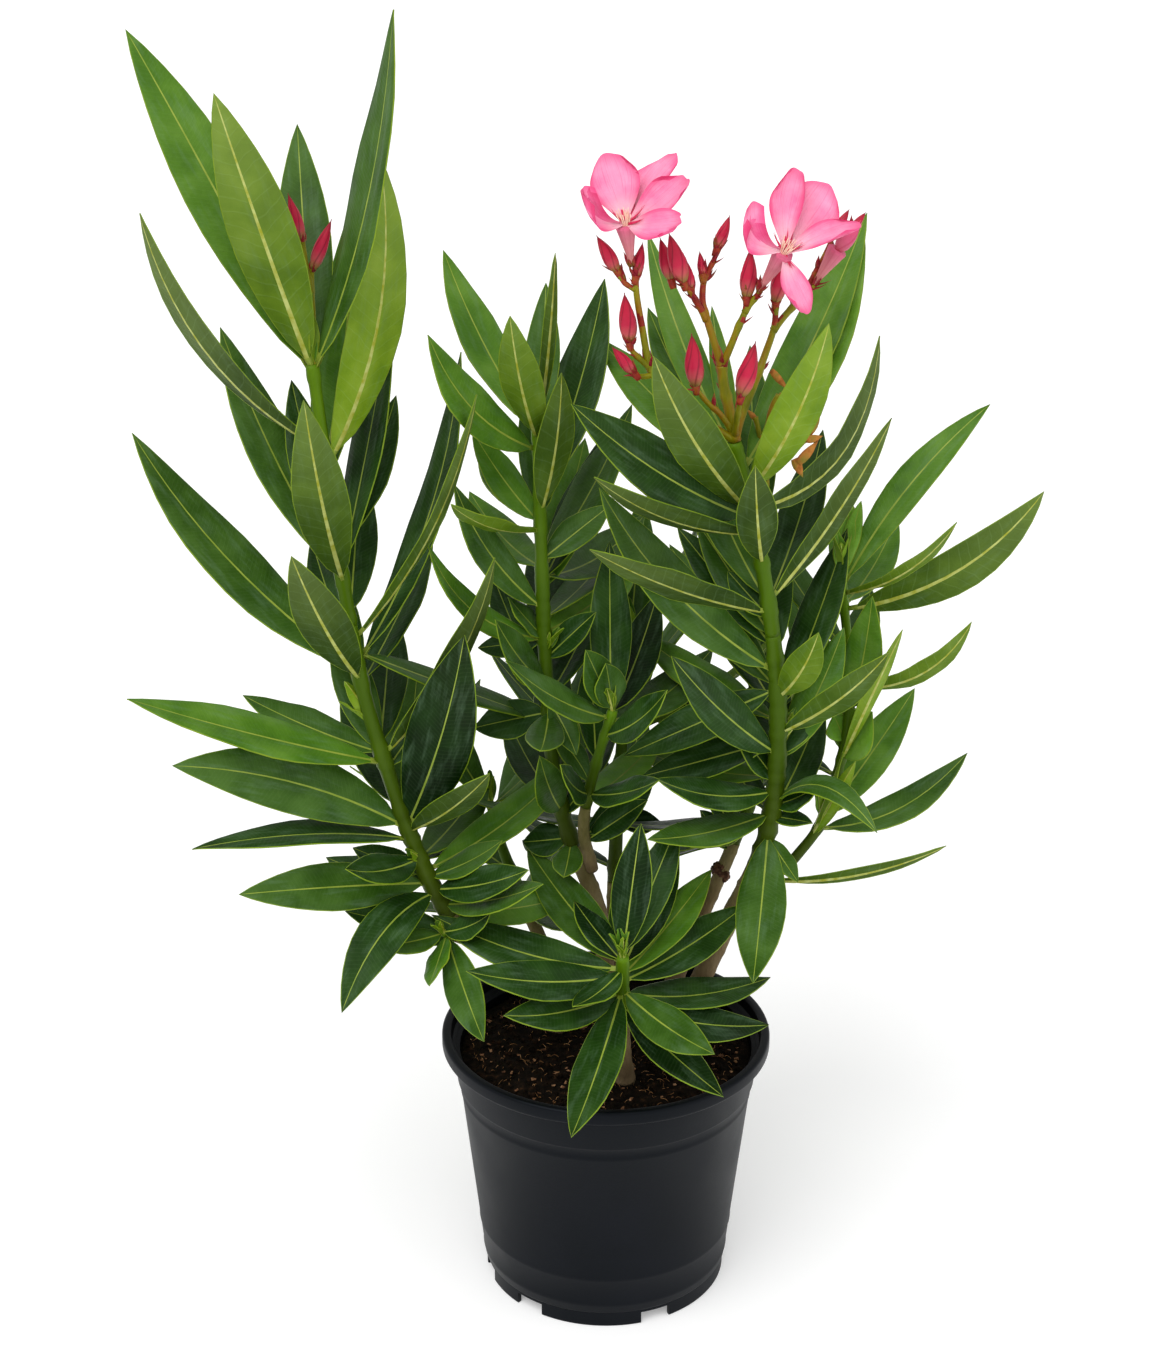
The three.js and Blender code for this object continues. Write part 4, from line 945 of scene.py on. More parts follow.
def leaf_points(leaf, draw):
    """Every vertex of a leaf and its place on the leaf's own map. The blade swells from its stalk and runs
    out to a point, folds up a little along its midrib, twists, and waves along its edges."""
    length, width = leaf["length"], leaf["width"]
    even = BLADE_STEP / BLADE_STEPS
    s = (1 - END_CROWDING) * even + END_CROWDING * (0.5 - 0.5 * np.cos(math.pi * even))
    swell = np.sin(math.pi * np.clip(s, 0, 1)) ** BLADE_FULLNESS
    widening = np.clip((s - STALK_END) / STALK_WIDENING, 0, 1)
    swell = swell * (0.35 + 0.65 * widening * widening * (3 - 2 * widening))
    pointing = np.clip((1 - s) / TIP_SHARE, 0, 1)
    half = np.maximum(width * swell, STALK_WIDTH * pointing + 0.1) / 2
    rib = np.where(BLADE_UPPER, blend(*RIB_WIDTHS, s), blend(*UNDER_RIB_WIDTHS, s))
    rib = np.minimum(rib * (0.6 + length / 300) / 2, half * 0.55)
    margin = np.minimum(MARGIN_WIDTH, half * 0.18)
    inner = half - margin
    reach = np.select([LINE_KIND == "edge", LINE_KIND == "margin", LINE_KIND == "middle"],
                      [half, inner, blend(rib, inner, 0.5)], rib)
    out = reach / half
    # How high each point stands over the middle of the blade: the fold, the waving edge, and the thickness
    # with the groove of the midrib above and its keel below
    fold = leaf.get("fold", LEAF_FOLD * draw.uniform(0.6, 1.2))
    wave = draw.uniform(*EDGE_WAVES) * np.sin(2 * math.pi * (draw.uniform(*WAVE_COUNTS) * s + draw.random()))
    rise = fold * reach * (1 - 0.4 * out) + wave * out ** 2 * swell
    rise = rise - np.where(LINE_KIND == "edge", EDGE_DROP, 0) * swell
    thick = LEAF_THICKNESS * np.where(LINE_KIND == "edge", EDGE_THINNING, 1)
    keel = np.where(LINE_KIND == "rib", blend(*KEEL_HEIGHTS, s), 0)
    groove = np.where(LINE_KIND == "rib", RIB_GROOVE, 0)
    rise = rise + np.where(BLADE_UPPER, thick / 2 - groove, -thick / 2 - keel)
    bend = draw.uniform(-LEAF_BEND, LEAF_BEND)
    twist = math.radians(draw.uniform(-LEAF_TWIST, LEAF_TWIST)) * (s - 0.3)
    # The midrib's line, and at each step the ways along it, over it and beside it
    chord, up, face = np.array(leaf["chord"]), np.array(leaf["up"]), np.array(leaf["face"])
    hang = 4 * leaf["sag"] * length * s * (1 - s) + bend * length * (s ** 3 - s)
    centre = np.array(leaf["foot"]) + np.outer(s * length, chord) - np.outer(hang, up)
    slope = 4 * leaf["sag"] * (1 - 2 * s) + bend * (3 * s * s - 1)
    ahead = chord - np.outer(slope, up)
    ahead /= np.linalg.norm(ahead, axis=1)[:, None]
    normal = face - ahead * (ahead @ face)[:, None]
    normal /= np.linalg.norm(normal, axis=1)[:, None]
    side = np.cross(ahead, normal)
    x = LINE_SIDE * reach
    cos, sin = np.cos(twist), np.sin(twist)
    wide = x * cos - rise * sin
    high = x * sin + rise * cos
    points = centre + side * wide[:, None] + normal * high[:, None]
    own = np.stack([(s * length - VEIN_SLANT * reach) / 10, x / 10 + 7 * draw.random()], axis=1)
    return points * MM, own


def joined_leaves(name, leaves, nodes, seed):
    """All leaves of one mass as one mesh. Each leaf brings its tone, which picks the finish of each side."""
    draw = random.Random(seed)
    points, faces, maps, slots = [], [], [], []
    for leaf in leaves:
        spots, own = leaf_points(leaf, draw)
        faces.append(BLADE_FACES + len(points) * len(BLADE_STEP))
        points.append(spots)
        maps.append(own)
        index = TONES.index(leaf["tone"])
        slot = {"upper": index, "under": len(TONES) + index, "rib_upper": RIB_UPPER, "rib_under": RIB_UNDER,
                "margin": MARGIN}
        slots += [slot[part] for part in BLADE_PARTS]
    points, faces, maps = np.concatenate(points), np.concatenate(faces), np.concatenate(maps)
    data = bpy.data.meshes.new(name)
    data.from_pydata(points.tolist(), [], faces.tolist())
    data.polygons.foreach_set("material_index", slots)
    data.uv_layers.new(name="leaf").data.foreach_set("uv", maps[faces.ravel()].ravel())
    data.update()
    piece(name, data, leaf_finishes, nodes)


NUDGES = [(pull, 0) for pull in (0, 0.06, -0.06, 0.12, -0.12, 0.2, -0.2, 0.3, -0.3, 0.4, -0.4)]
NUDGES += [(0, 0.1), (0, -0.1), (0, 0.2), (0, -0.2), (0.2, 0.2), (-0.2, 0.2), (0.2, -0.2), (-0.2, -0.2)]


def stream(seed):
    """A repeatable run of numbers from 0 up to 1, the same as the part's source draws."""
    state = seed
    while True:
        state = (state * 1664525 + 1013904223) % 2 ** 32
        yield state / 2 ** 32


def leaf_tone(name, row, top, draw):
    """The word for a leaf's tone: the one in its row, or else one that is the brighter the nearer the leaf
    stands to the top of its shoot."""
    age = (top - row[0]) / 160 + draw.uniform(-0.25, 0.25)
    if isinstance(row[-1], str):
        return row[-1]
    if name in ("front", "inner"):
        return "mid" if age < 0.1 else "deep"
    return "fresh" if age < 0.02 else "mid" if age < 0.6 else "deep"


# Small leaves in the angles of the larger ones, as rows of the same kind, which the solids leave out
SMALL_LEAVES = {
    "left": [
        [256, 162, 16, 48, 0.6, 0, 1, "deep"], [325, 47, 39, 55, 0.5, 0, 1, "deep"],
    ],
    "middle": [
        [344, 168, -17, 46, 0.7, 0, 1.3, "deep"], [434, 31, 29, 51, 0.6, 0, 1, "mid"],
        [265, 166, -12, 29, 0.6, 0, 1.3, "deep"], [333, 349, -54, 38, 0.6, -0.05, 0.9, "mid"],
        [351, 306, -42, 36, 0.6, -0.05, 0.9, "mid"], [280, 203, 74, 37, 0.5, 0, 0.8, "deep"],
        [280, 349, 54, 27, 0.5, 0, 0.8, "deep"], [388, 168, -12, 39, 0.6, 0, 1, "deep"],
        [388, 193, 52, 33, 0.4, 0, 1, "mid"], [376, 350, 46, 41, 0.6, 0, 1, "deep"],
    ],
    "inner": [
        [271, 31, 24, 50, 0.7, 0, 1, "deep"], [267, 349, 39, 46, 0.5, 0, 1, "deep"],
        [354, 195, 67, 40, 0.6, 0, 1.3, "mid"], [354, 216, 80, 29, 0.6, 0, 1.3, "mid"],
    ],
    "right": [
        [395, 129, 39, 82, 0.4, 0, 1, "mid"], [389, 136, 37, 90, 0.3, 0, 1, "deep"],
        [365, 168, -29, 98, 0.7, 0, 1, "deep"], [333, 167, -21, 83, 0.6, 0, 1, "deep"],
        [407, 137, 34, 37, 0.5, 0, 1, "deep"], [291, 341, 33, 32, 0.4, 0.06, 1.2, "deep"],
        [284, 334, 1, 25, 0.3, 0, 0.9, "deep"], [271, 304, -31, 34, 0.3, 0, 0.8, "mid"],
        [307, 188, 54, 41, 0.5, 0, 1.2, "deep"], [322, 48, 45, 44, 0.5, 0, 1.2, "deep"],
    ],
    "side": [
        [300, 342, 62, 36, 0.6, 0, 1.9, "young"], [311, 163, 65, 17, 0.6, 0, 1.3, "young"],
        [304, 70, 50, 30, 0.6, 0, 1.2, "young"], [410, 76, 58, 48, 0.3, 0, 0.6, "young"],
        [410, 62, 57, 47, 0.5, -0.03, 0.6, "young"], [410, 82, 57, 40, 0.3, 0, 0.6, "young"],
        [254, 339, 74, 57, 0.4, 0, 0.6, "fresh"], [252, 345, 65, 57, 0.3, 0, 0.6, "fresh"],
    ],
    "front": [
        [240, 40, 81, 76, 0.6, 0, 1, "dark"], [240, 59, 43, 82, 0.5, 0, 1, "deep"],
    ],
    "twig": [
        [218, 192, 21, 70, 0.6, 0, 1, "deep"],
    ],
    "rear": [
        [244, 151, 70, 104, 0.5, 0, 1, "deep"], [273, 175, 60, 92, 0.5, 0, 1, "deep"],
        [241, 187, 55, 33, 0.5, 0, 1, "deep"],
    ],
    "back": [
        [251, 13, -5, 27, 0.6, 0, 1.1, "dark"],
    ],
}
small = [{**leaf_at(SHOOTS[name]["path"], row, (0.5, 0.5), (0, 0)), "tone": row[-1]}
         for name, rows in SMALL_LEAVES.items() for row in rows]
joined_leaves("leaves_small", small, [], 36)

# A leaf of a mass grows only where the solids have a leaf tip, and takes the nudge that its solid took.
masses = [(*part, name) for name, shoot in SHOOTS.items() for part in mass_parts(name, shoot)]
for number, (mass, low, high, name) in enumerate(masses):
    shoot = SHOOTS[name]
    path = shoot["path"]
    foot = curve_point(path, share_at_height(path, low)).z
    solid = frame["nodes"]["foliage_" + mass].data
    tips = KDTree(len(solid.vertices))
    for i, vert in enumerate(solid.vertices):
        tips.insert(vert.co, i)
    tips.balance()
    numbers = stream(number + 1)
    deal = random.Random(40 + number)
    top = curve_point(path, 1).z
    grown = []
    for row in shoot_rows(shoot):
        if not foot < row[0] <= high:
            continue
        draws = next(numbers), next(numbers)
        for nudge in NUDGES:
            leaf = leaf_at(path, row, draws, nudge)
            tip = (leaf["foot"] + leaf["chord"] * leaf["length"]) * MM
            if tips.find(tip)[2] < NODE_MATCH * MM:
                leaf["tone"] = leaf_tone(name, row, top, deal)
                grown.append(leaf)
                break
    joined_leaves("leaves_" + mass, grown, ["foliage_" + mass], 70 + number)

# ---- Flower head ----
# On the tip of the right shoot a flat-topped cluster forks into yellow-green stalks flushed with red. They
# carry twisted crimson buds with small pointed bracts, two open pink blooms and one that is just opening:
# each a pale tube that flares into five soft petals round a throat with dark streaks and cream threads.
HEAD_FOOT = Vector((65, -12, 510.4))
# A stalk of the cluster is [the points that it runs through from the foot of the head, both radii]
HEAD_STALKS = [
    [[[0.5, 0, -0.4], [-3.2, -2, 17], [-6, -1, 29], [-7.2, 0, 38.8]], [3, 2.7]],
    [[[-7.2, 0, 38], [-10.5, -1, 48.4], [-15, -2, 62], [-17.6, 0, 71], [-17.6, 3, 78.4],
      [-16.6, 5, 83.7]], [2.2, 1.5]],
    [[[-15.8, -2, 63], [-19.9, -5, 70.8], [-23.7, -8, 77.6], [-27.9, -10, 83]], [1.7, 1.3]],
    [[[-7.2, 0, 38], [-2.9, -1, 49.4], [0.9, -2, 60], [3.8, -2, 67.2], [4.6, -2, 73.8]], [2, 1.5]],
    [[[3.6, -2, 66.8], [6.7, -2, 71.8], [9.6, -3, 75.5], [10.9, -4, 78.3]], [1.6, 1.4]],
    [[[0.5, 0, -0.4], [-15.6, -4, 10.2], [-32.9, -7, 22.6], [-43.9, -8, 39.6], [-48.8, -9, 61.5],
      [-51.5, -9, 76.7], [-52.1, -9, 85.9]], [2.3, 1.5]],
    [[[-44, -8, 39.4], [-49.1, -10, 44.2], [-53.3, -12, 48.8], [-54.9, -13, 53.1]], [1.6, 1.2]],
    [[[-43.2, -8, 36], [-47, -9, 35.4], [-50, -11, 36], [-52.2, -12, 37.6]], [1.4, 1.1]],
    [[[-0.7, -1, 4.1], [-8.1, -8, 15.5], [-15.2, -12, 22.8], [-20.6, -15, 29.8]], [1.7, 1.2]],
    [[[0.3, -2, 3.3], [0.5, -10, 12.8], [1.1, -14, 20.2], [1.8, -16, 25.9]], [1.7, 1.3]],
    [[[0.5, 0, -0.4], [3.5, 3, 10.6], [9.6, 7, 25.5], [15.8, 12, 41.8], [20.2, 14, 55.5],
      [20.9, 14, 66.5]], [2.5, 1.5]],
    [[[19.8, 14, 54], [24.9, 16, 60.3], [30.1, 19, 65.4], [35.9, 22, 70.6], [41, 24, 75.9]], [1.9, 1.5]],
    [[[-52, -9, 79.8], [-55.5, -8, 81.6], [-58.6, -8, 84.1], [-61.1, -7, 88.5]], [1.3, 1.1]],
    [[[-16.5, 5, 82.7], [-14.1, 5, 88.3], [-12.1, 6, 92.1], [-10.7, 6, 97.2]], [1.4, 1.2]],
    [[[30, 19, 65], [38, 24, 76], [46, 28, 90], [51.1, 30, 101]], [1.3, 1]],
    [[[38, 24, 76], [48, 29, 86], [55, 32, 94], [59.8, 34, 101.5]], [1.3, 1]],
]
# A bud is [its foot, heading, rise, length]
BUDS = [
    [[-54.9, -13, 53.1], 222, 81, 27], [[-61.1, -7, 88.5], 195, 59, 22], [[-52.1, -9, 85.9], 17, 79, 18],
    [[-27.9, -10, 83], 206, 71, 28], [[-33.7, -4, 82.9], 147, 71, 23], [[-24.1, -6, 79.2], 180, 81, 15],
    [[-17.7, 4, 84], 129, 77, 13], [[-10.7, 6, 97.2], 18, 69, 18.5], [[4.6, -2, 73.8], 54, 85, 26],
    [[20.8, 14, 68], 317, 83, 25], [[51.1, 30, 101], 15, 58, 15], [[59.8, 34, 101.5], 14, 50, 13],
    [[-21.1, -15, 30.8], 223, 82, 29], [[1.8, -16, 25.9], 0, 77, 30], [[-7.8, 4, 36], 144, 76, 17],
    [[-52.2, -12, 37.4], 190, 50, 19], [[-44.8, -4, 39.7], 147, 70, 12],
]
# A bloom is its tube, [foot, heading, rise, length], and its petals, each [heading, rise, length, width, how
# far its edges rise, how far its end bends back, degrees of twist, how far it bows sideways]
BLOOMS = [
    {"tube": [[-54.2, -10, 92.1], 231, 76, 21.7], "petals": [
        [131, 66, 37, 25, 0.2, 0.06, 8, 0.02], [38, 50, 45, 17, 0.5, 0.08, 16, -0.06],
        [4, 33, 38, 20, 0.4, -0.1, 15, 0.04], [323, 12, 31, 17, 0.4, 0.12, -10, 0.08],
        [203, 36, 32, 10, 0.8, -0.1, 20, -0.3]]},
    {"tube": [[10.4, -4, 78.3], 315, 54, 26.3], "petals": [
        [68, 66, 42, 17, 0.7, -0.08, 26, -0.08], [38, 51, 42, 33, 0.16, 0.05, 10, -0.02],
        [354, 16, 40, 15, 0.5, -0.1, 40, -0.08], [314, -57, 32, 16, 0.4, 0.06, 14, 0.08],
        [186, 52, 31, 15, 0.5, -0.1, 30, -0.36]]},
]
OPENING_TUBE = [[41.1, 24, 75.9], 340, 58, 22.3]
# The half-open bloom's folded petals are [heading, rise, length]
OPENING_BUD = [350, 54, 20]
OPENING_BUD_SHARE = 0.85
STALK_SIDES = 14
STALK_RING = 1.8
STALK_KNOT = 0.22
STALK_KNOT_HEIGHT = 2.2
STALK_FLUTING = 0.05
BRACT_OFFSET = 1.1
BRACT_LENGTHS = (4.5, 9)
BRACT_WIDTH = 2.8
FLUSH_START = 1.62
# Extra red on faces turned away from the light: painted shade
FLUSH_PAINTED_SHADE = 0.35
BUD_STALK_RADII = [1.3, 1.7]
BUD_STALK_LENGTH = 5
BUD_STALK_DEPTH = 3.5
BUD_RADIUS_SHARE = 0.165
BUD_LOBES = 5
BUD_SIDES = 30
BUD_RINGS = 22
TUBE_FOOT_RADIUS = 1.5
TUBE_THROAT_RADIUS = 5.2
TUBE_SIDES = 25
TUBE_RING = 1.6
TUBE_LINES = 10
SEPALS = 5
STREAK_LENGTHS = (7, 12)
STREAK_WIDTH = 0.9
THREAD_RADIUS = 0.45
THREAD_STEP = 3.8
PETAL_STEPS = 14
PETAL_STRIPS = 12
PETAL_ROOT = 1.5
PETAL_THICKNESS = 0.45
PETAL_BROADEST = 0.74
PETAL_SLANT = 0.09

stalk_olive = finish("stalk_olive", [tone(104, 108, 4), tone(134, 130, 6), tone(146, 104, 14)], patch=0.01,
                     roughness=(0.5, 0.4), grain=0.001, relief=0.0001, gloss=0.25, stretch=(1, 1, 0.4))
stalk_red = finish("stalk_red", [tone(128, 34, 22), tone(150, 44, 26), tone(150, 92, 24)], patch=0.006,
                   roughness=(0.5, 0.4), grain=0.001, relief=0.0001, gloss=0.25)
bract_red = finish("bract_red", [tone(120, 18, 34), tone(150, 30, 40), tone(120, 84, 26)], patch=0.005,
                   roughness=(0.55, 0.42), grain=0.001, relief=0.0001, gloss=0.25)
dry_brown = finish("dry_brown", [tone(150, 84, 30), tone(186, 122, 52), tone(140, 120, 40)], patch=0.006,
                   roughness=(0.7, 0.6), grain=0.001, relief=0.0002, gloss=0.2)


def along_finish(name, stops, lines, line_width, roughness, line_colour):
    """A finish whose colour runs along a piece from foot to tip, by the first number of its own map, with
    thin darker lines where the second number, taken round the piece, comes near a whole one."""
    material = finish(name, [stops[0][1], stops[-1][1]], patch=0.01, roughness=roughness, grain=0.0009,
                      relief=0.00008, gloss=0.25)
    tree = material.node_tree
    along, turn = own_map(tree)[1:]
    near = node(tree, "Math", {0: turn, 1: 0.5}, operation="PINGPONG").outputs["Value"]
    lined = layer(tree, ramp(tree, along, stops), line_colour, amount(tree, near, line_width, 0, lines))
    mottle = tree.nodes["Noise Texture"].outputs["Fac"]
    coat(tree, {"Base Color": layer(tree, lined, tone(205, 190, 190), mottle, "MULTIPLY")})
    return material


bud_crimson = along_finish("bud_crimson", [
    (0.0, tone(120, 120, 40)), (0.1, tone(170, 130, 70)), (0.24, tone(214, 90, 96)), (0.42, tone(208, 34, 74)),
    (0.8, tone(190, 22, 56)), (1.0, tone(120, 16, 32))], lines=0.75, line_width=0.13, roughness=(0.48, 0.38),
    line_colour=tone(122, 14, 40))
bud_pink = along_finish("bud_pink", [
    (0.0, tone(222, 120, 140)), (0.5, tone(232, 96, 140)), (1.0, tone(226, 60, 108))],
    lines=0.5, line_width=0.12, roughness=(0.55, 0.45), line_colour=tone(200, 40, 92))
tube_pink = along_finish("tube_pink", [
    (0.0, tone(214, 150, 130)), (0.3, tone(232, 150, 152)), (0.75, tone(238, 140, 160)),
    (1.0, tone(240, 110, 150))], lines=0.4, line_width=0.16, roughness=(0.6, 0.5),
    line_colour=tone(214, 96, 124))


def stalk_radius(radii, length):
    """The radius of a flower stalk: tapering, ribbed, and a little swollen at both ends and half way."""
    def radius_at(share, turn):
        gaps = [(share - mark) * length / STALK_KNOT_HEIGHT for mark in (0, 0.5, 1)]
        knot = STALK_KNOT * sum(math.exp(-(gap ** 2)) for gap in gaps)
        return blend(radii[0], radii[1], share) * (1 + knot + STALK_FLUTING * math.cos(3 * turn))
    return radius_at


def straight(foot, way, reach):
    """A straight path of four points, so that a tube can follow it."""
    return [list(foot + way * reach * i / 3) for i in range(4)]


def wrap_map(maps, verts, foot, way, length, lines, twist):
    """Gives the faces of a straight tube their own map: share of the length, and turn times the lines."""
    side = way.cross(AWAY).normalized()
    out = side.cross(way)

    def place(point):
        off = point / MM - foot
        share = off.dot(way) / length
        return share, math.atan2(off.dot(out), off.dot(side))
    for face in faces_of(verts):
        middle = place(face.calc_center_median())[1]
        for loop in face.loops:
            share, turn = place(loop.vert.co)
            turn = middle + math.remainder(turn - middle, 2 * math.pi)
            loop[maps].uv = (share, lines * (turn + twist * share) / (2 * math.pi) + 10)


def spindle(mesh, maps, foot, way, length, radius, draw, material=0):
    """A bud's folded petals: five lobes wound round each other, thickest below the middle."""
    twist = draw.uniform(1.3, 2)
    spin = draw.uniform(0, 6.3)

    def radius_at(share, turn):
        body = math.sin(math.pi * min(1, share ** 0.74 + 0.02)) ** 0.85
        fold = ((turn + twist * share + spin) * BUD_LOBES / (2 * math.pi)) % 1
        return radius * max(0.05, body) * (0.9 + 0.14 * fold ** 0.5)
    verts = tube(mesh, straight(foot, way, length), 0, 1, radius_at, BUD_SIDES, length / BUD_RINGS,
                 material=material)
    wrap_map(maps, verts, foot, way, length, BUD_LOBES, twist)


def bract(mesh, foot, way, length, width, draw, material=0, across_from=UP):
    """A small pointed scale that bends outwards from a stalk, its width square to the given way."""
    verts = rod(mesh, 6, 4, 0)
    side = way.cross(across_from if abs(way.dot(across_from)) < 0.9 else AWAY).normalized()
    out = side.cross(way)
    bend = draw.uniform(0.05, 0.3)
    for vert in verts:
        along = vert.co.z + 0.5
        wide = vert.co.x / max(0.05, 1 - along) * math.sin(math.pi * min(1, along * 0.8 + 0.25))
        thick = vert.co.y * 0.7
        place = foot + way * along * length + out * (bend * along * along * length + thick)
        vert.co = (place + side * wide * width / 2) * MM
    for face in faces_of(verts):
        face.material_index = material


def beside(axis, turn):
    """The unit vector square to an axis, turned round it from the side away from the viewer."""
    return Matrix.Rotation(turn, 3, axis) @ across(AWAY, axis)


def sepals(mesh, foot, way, draw, count, start, offset, lean, lengths, width, material=0):
    """The ring of small pointed leaves that holds a bud or a bloom."""
    for number in range(count):
        out = beside(way, 2 * math.pi * number / count + start)
        bract(mesh, foot + out * offset, (way + out * lean).normalized(), draw.uniform(*lengths), width,
              draw, material)


def petal_finish(name, throat, middle, body, edge):
    """A petal's finish: pale at the throat and along its middle, deeper at its edges and end, partly its own
    colour and partly painted shade where the petal curls, with fine long streaks. Its own map runs from
    throat to end, and from -1 to 1 across."""
    material = finish(name, [body, middle], patch=0.009, roughness=(0.6, 0.5), grain=0.0016,
                      relief=0.0002, gloss=0.3)
    tree = material.node_tree
    both, along, aside = own_map(tree)
    rim = node(tree, "Math", {0: aside}, operation="ABSOLUTE").outputs["Value"]
    long_ways = node(tree, "Mapping", {"Vector": both, "Scale": (0.3, 5, 1)}).outputs["Vector"]
    streaks = node(tree, "TexNoise", {"Vector": long_ways, "Scale": 4, "Detail": 4}).outputs["Fac"]
    colour = tree.nodes["Color Ramp"].outputs["Color"]
    # What each layer follows, where that starts and where it is at its strength, its strength and tint
    for source, start, end, strength, tint in [
            (rim, 0.7, 0.1, 0.55, middle), (rim, 0.62, 1.04, 0.8, edge), (along, 0.8, 1.03, 0.6, edge),
            (streaks, 0.5, 0.7, 0.45, edge), (along, 0.5, 0.05, 0.85, throat)]:
        colour = layer(tree, colour, tint, amount(tree, source, start, end, strength, smooth=True))
    coat(tree, {"Base Color": colour})
    relief_over(tree, streaks, 0.0004)
    return material


petal_pink = petal_finish("petal_pink", tone(254, 204, 216), tone(252, 156, 192), tone(244, 112, 162),
                          tone(232, 58, 122))
# The petal's back: a darker copy of the front, partly its own deeper colour and partly painted shade
petal_back_shaded = petal_finish("petal_back_shaded", tone(244, 150, 180), tone(240, 112, 160), tone(230, 76, 134),
                          tone(212, 36, 98))
throat_deep = finish("throat_deep", [tone(200, 20, 74), tone(222, 44, 98)], patch=0.005,
                     roughness=(0.6, 0.5), grain=0.001, relief=0.00005)
thread_cream = finish("thread_cream", [tone(246, 200, 178), tone(252, 226, 200)], patch=0.004,
                      roughness=(0.6, 0.5), grain=0.001, relief=0.00005)


def petal(mesh, maps, throat, axis, row, draw):
    """A soft petal: a grid cut to an outline that is narrow at the throat and broadest near its blunt,
    slanting end, cupped, bowed, curled and rippled, and then given its thickness."""
    heading, rise, length, width, cup, curl, twist, bow = row
    chord = towards(heading, rise)
    sight = (VIEWPOINT - throat).normalized()
    face = across(sight + axis, chord)
    side = chord.cross(face)
    grid = bmesh.ops.create_grid(mesh, x_segments=PETAL_STEPS, y_segments=PETAL_STRIPS, size=0.5)
    phase = draw.random() * 6.3
    slant = draw.uniform(-PETAL_SLANT, PETAL_SLANT)
    faces = list(faces_of(grid["verts"]))
    places = {}
    for vert in grid["verts"]:
        # From 0 at the throat to 1 at the end, and from -1 to 1 across
        s, w = vert.co.x + 0.5, vert.co.y * 2
        outline = 0.15 + 0.85 * math.sin(math.pi / 2 * min(1, s / PETAL_BROADEST)) ** 1.4
        past = max(0, s - PETAL_BROADEST) / (1 - PETAL_BROADEST)
        outline *= 1 - 0.26 * past ** 2
        end = length * (1 - 0.11 * w * w - 0.1 * w ** 4 + slant * w + 0.015 * math.cos(6 * w + phase))
        along = PETAL_ROOT + (end - PETAL_ROOT) * s
        half = width / 2 * outline
        # The edges rise, the end bends back, and both ripple
        lift = cup * half * (w * w) * (1 - 0.35 * s)
        lift -= curl * length * s ** 2.4
        lift += (1.5 * math.sin(phase + 4 * w + 3 * s) * abs(w) + 0.5 * math.sin(9 * w + 5 * s)) * s * s
        aside = 4 * bow * length * s * (1 - s) * (0.6 + 0.4 * s)
        spin = math.radians(twist) * (s - 0.2)
        x = half * w * math.cos(spin) - lift * math.sin(spin)
        z = half * w * math.sin(spin) + lift * math.cos(spin)
        vert.co = (throat + chord * along + side * (x + aside) + face * z) * MM
        places[vert] = (s, w)
    for item in faces:
        for loop in item.loops:
            loop[maps].uv = places[loop.vert]
    before = set(mesh.faces)
    bmesh.ops.solidify(mesh, geom=faces, thickness=PETAL_THICKNESS * MM)
    shell = list(set(mesh.faces) - before) + faces
    bmesh.ops.recalc_face_normals(mesh, faces=shell)
    for item in shell:
        # The side turned away takes the darker back finish, partly painted shade
        item.material_index = 0 if item.normal.dot(face) > 0 else 1


stalks, buds, scales = bmesh.new(), bmesh.new(), bmesh.new()
bud_maps = buds.loops.layers.uv.new("bud")
draw = random.Random(21)
for points, radii in HEAD_STALKS:
    path = [list(Vector(point) + HEAD_FOOT) for point in points]
    length = curve_length(path)
    tube(stalks, path, 0, 1, stalk_radius(radii, length), STALK_SIDES, STALK_RING)
    for mark, count in ((0.5, 2), (0.9, 2), (1.0, 4)):
        foot = curve_point(path, mark)
        ahead = curve_ahead(path, mark)
        for _ in range(count):
            out = beside(ahead, draw.uniform(0, 6.3))
            way = (ahead * draw.uniform(0.8, 1.8) + out).normalized()
            bract(scales, foot + way * BRACT_OFFSET, way, draw.uniform(*BRACT_LENGTHS), BRACT_WIDTH, draw)
for offset, heading, rise, length in BUDS:
    foot = Vector(offset) + HEAD_FOOT
    way = towards(heading, rise)
    tube(stalks, straight(foot - way * BUD_STALK_DEPTH, way, BUD_STALK_LENGTH), 0, 1,
         stalk_radius(BUD_STALK_RADII, BUD_STALK_LENGTH), 12, 1.5, material=1)
    spindle(buds, bud_maps, foot, way, length, length * BUD_RADIUS_SHARE, draw)
    sepals(scales, foot, way, draw, SEPALS, start=0.3, offset=0.9, lean=0.32, lengths=(5, 9), width=3)
# The stalks flush with red where they stand high and in patches. The extra red on the side away from
# the light is painted shade.
for face in stalks.faces:
    if face.material_index:
        continue
    middle = face.calc_center_median()
    rise = middle.z / MM - HEAD_FOOT.z
    # Red added on the side away from the light is painted shade
    flush = 0.5 + 0.5 * noise.noise(middle * 150) + (FLUSH_PAINTED_SHADE if face.normal.y > 0 else 0)
    face.material_index = int(rise / 90 + flush > FLUSH_START)
piece("flower_stalks", stalks, [stalk_olive, stalk_red], ["flower_head"])

petals, throats, streaks = bmesh.new(), bmesh.new(), bmesh.new()
petal_maps = petals.loops.layers.uv.new("petal")
throat_maps = throats.loops.layers.uv.new("tube")


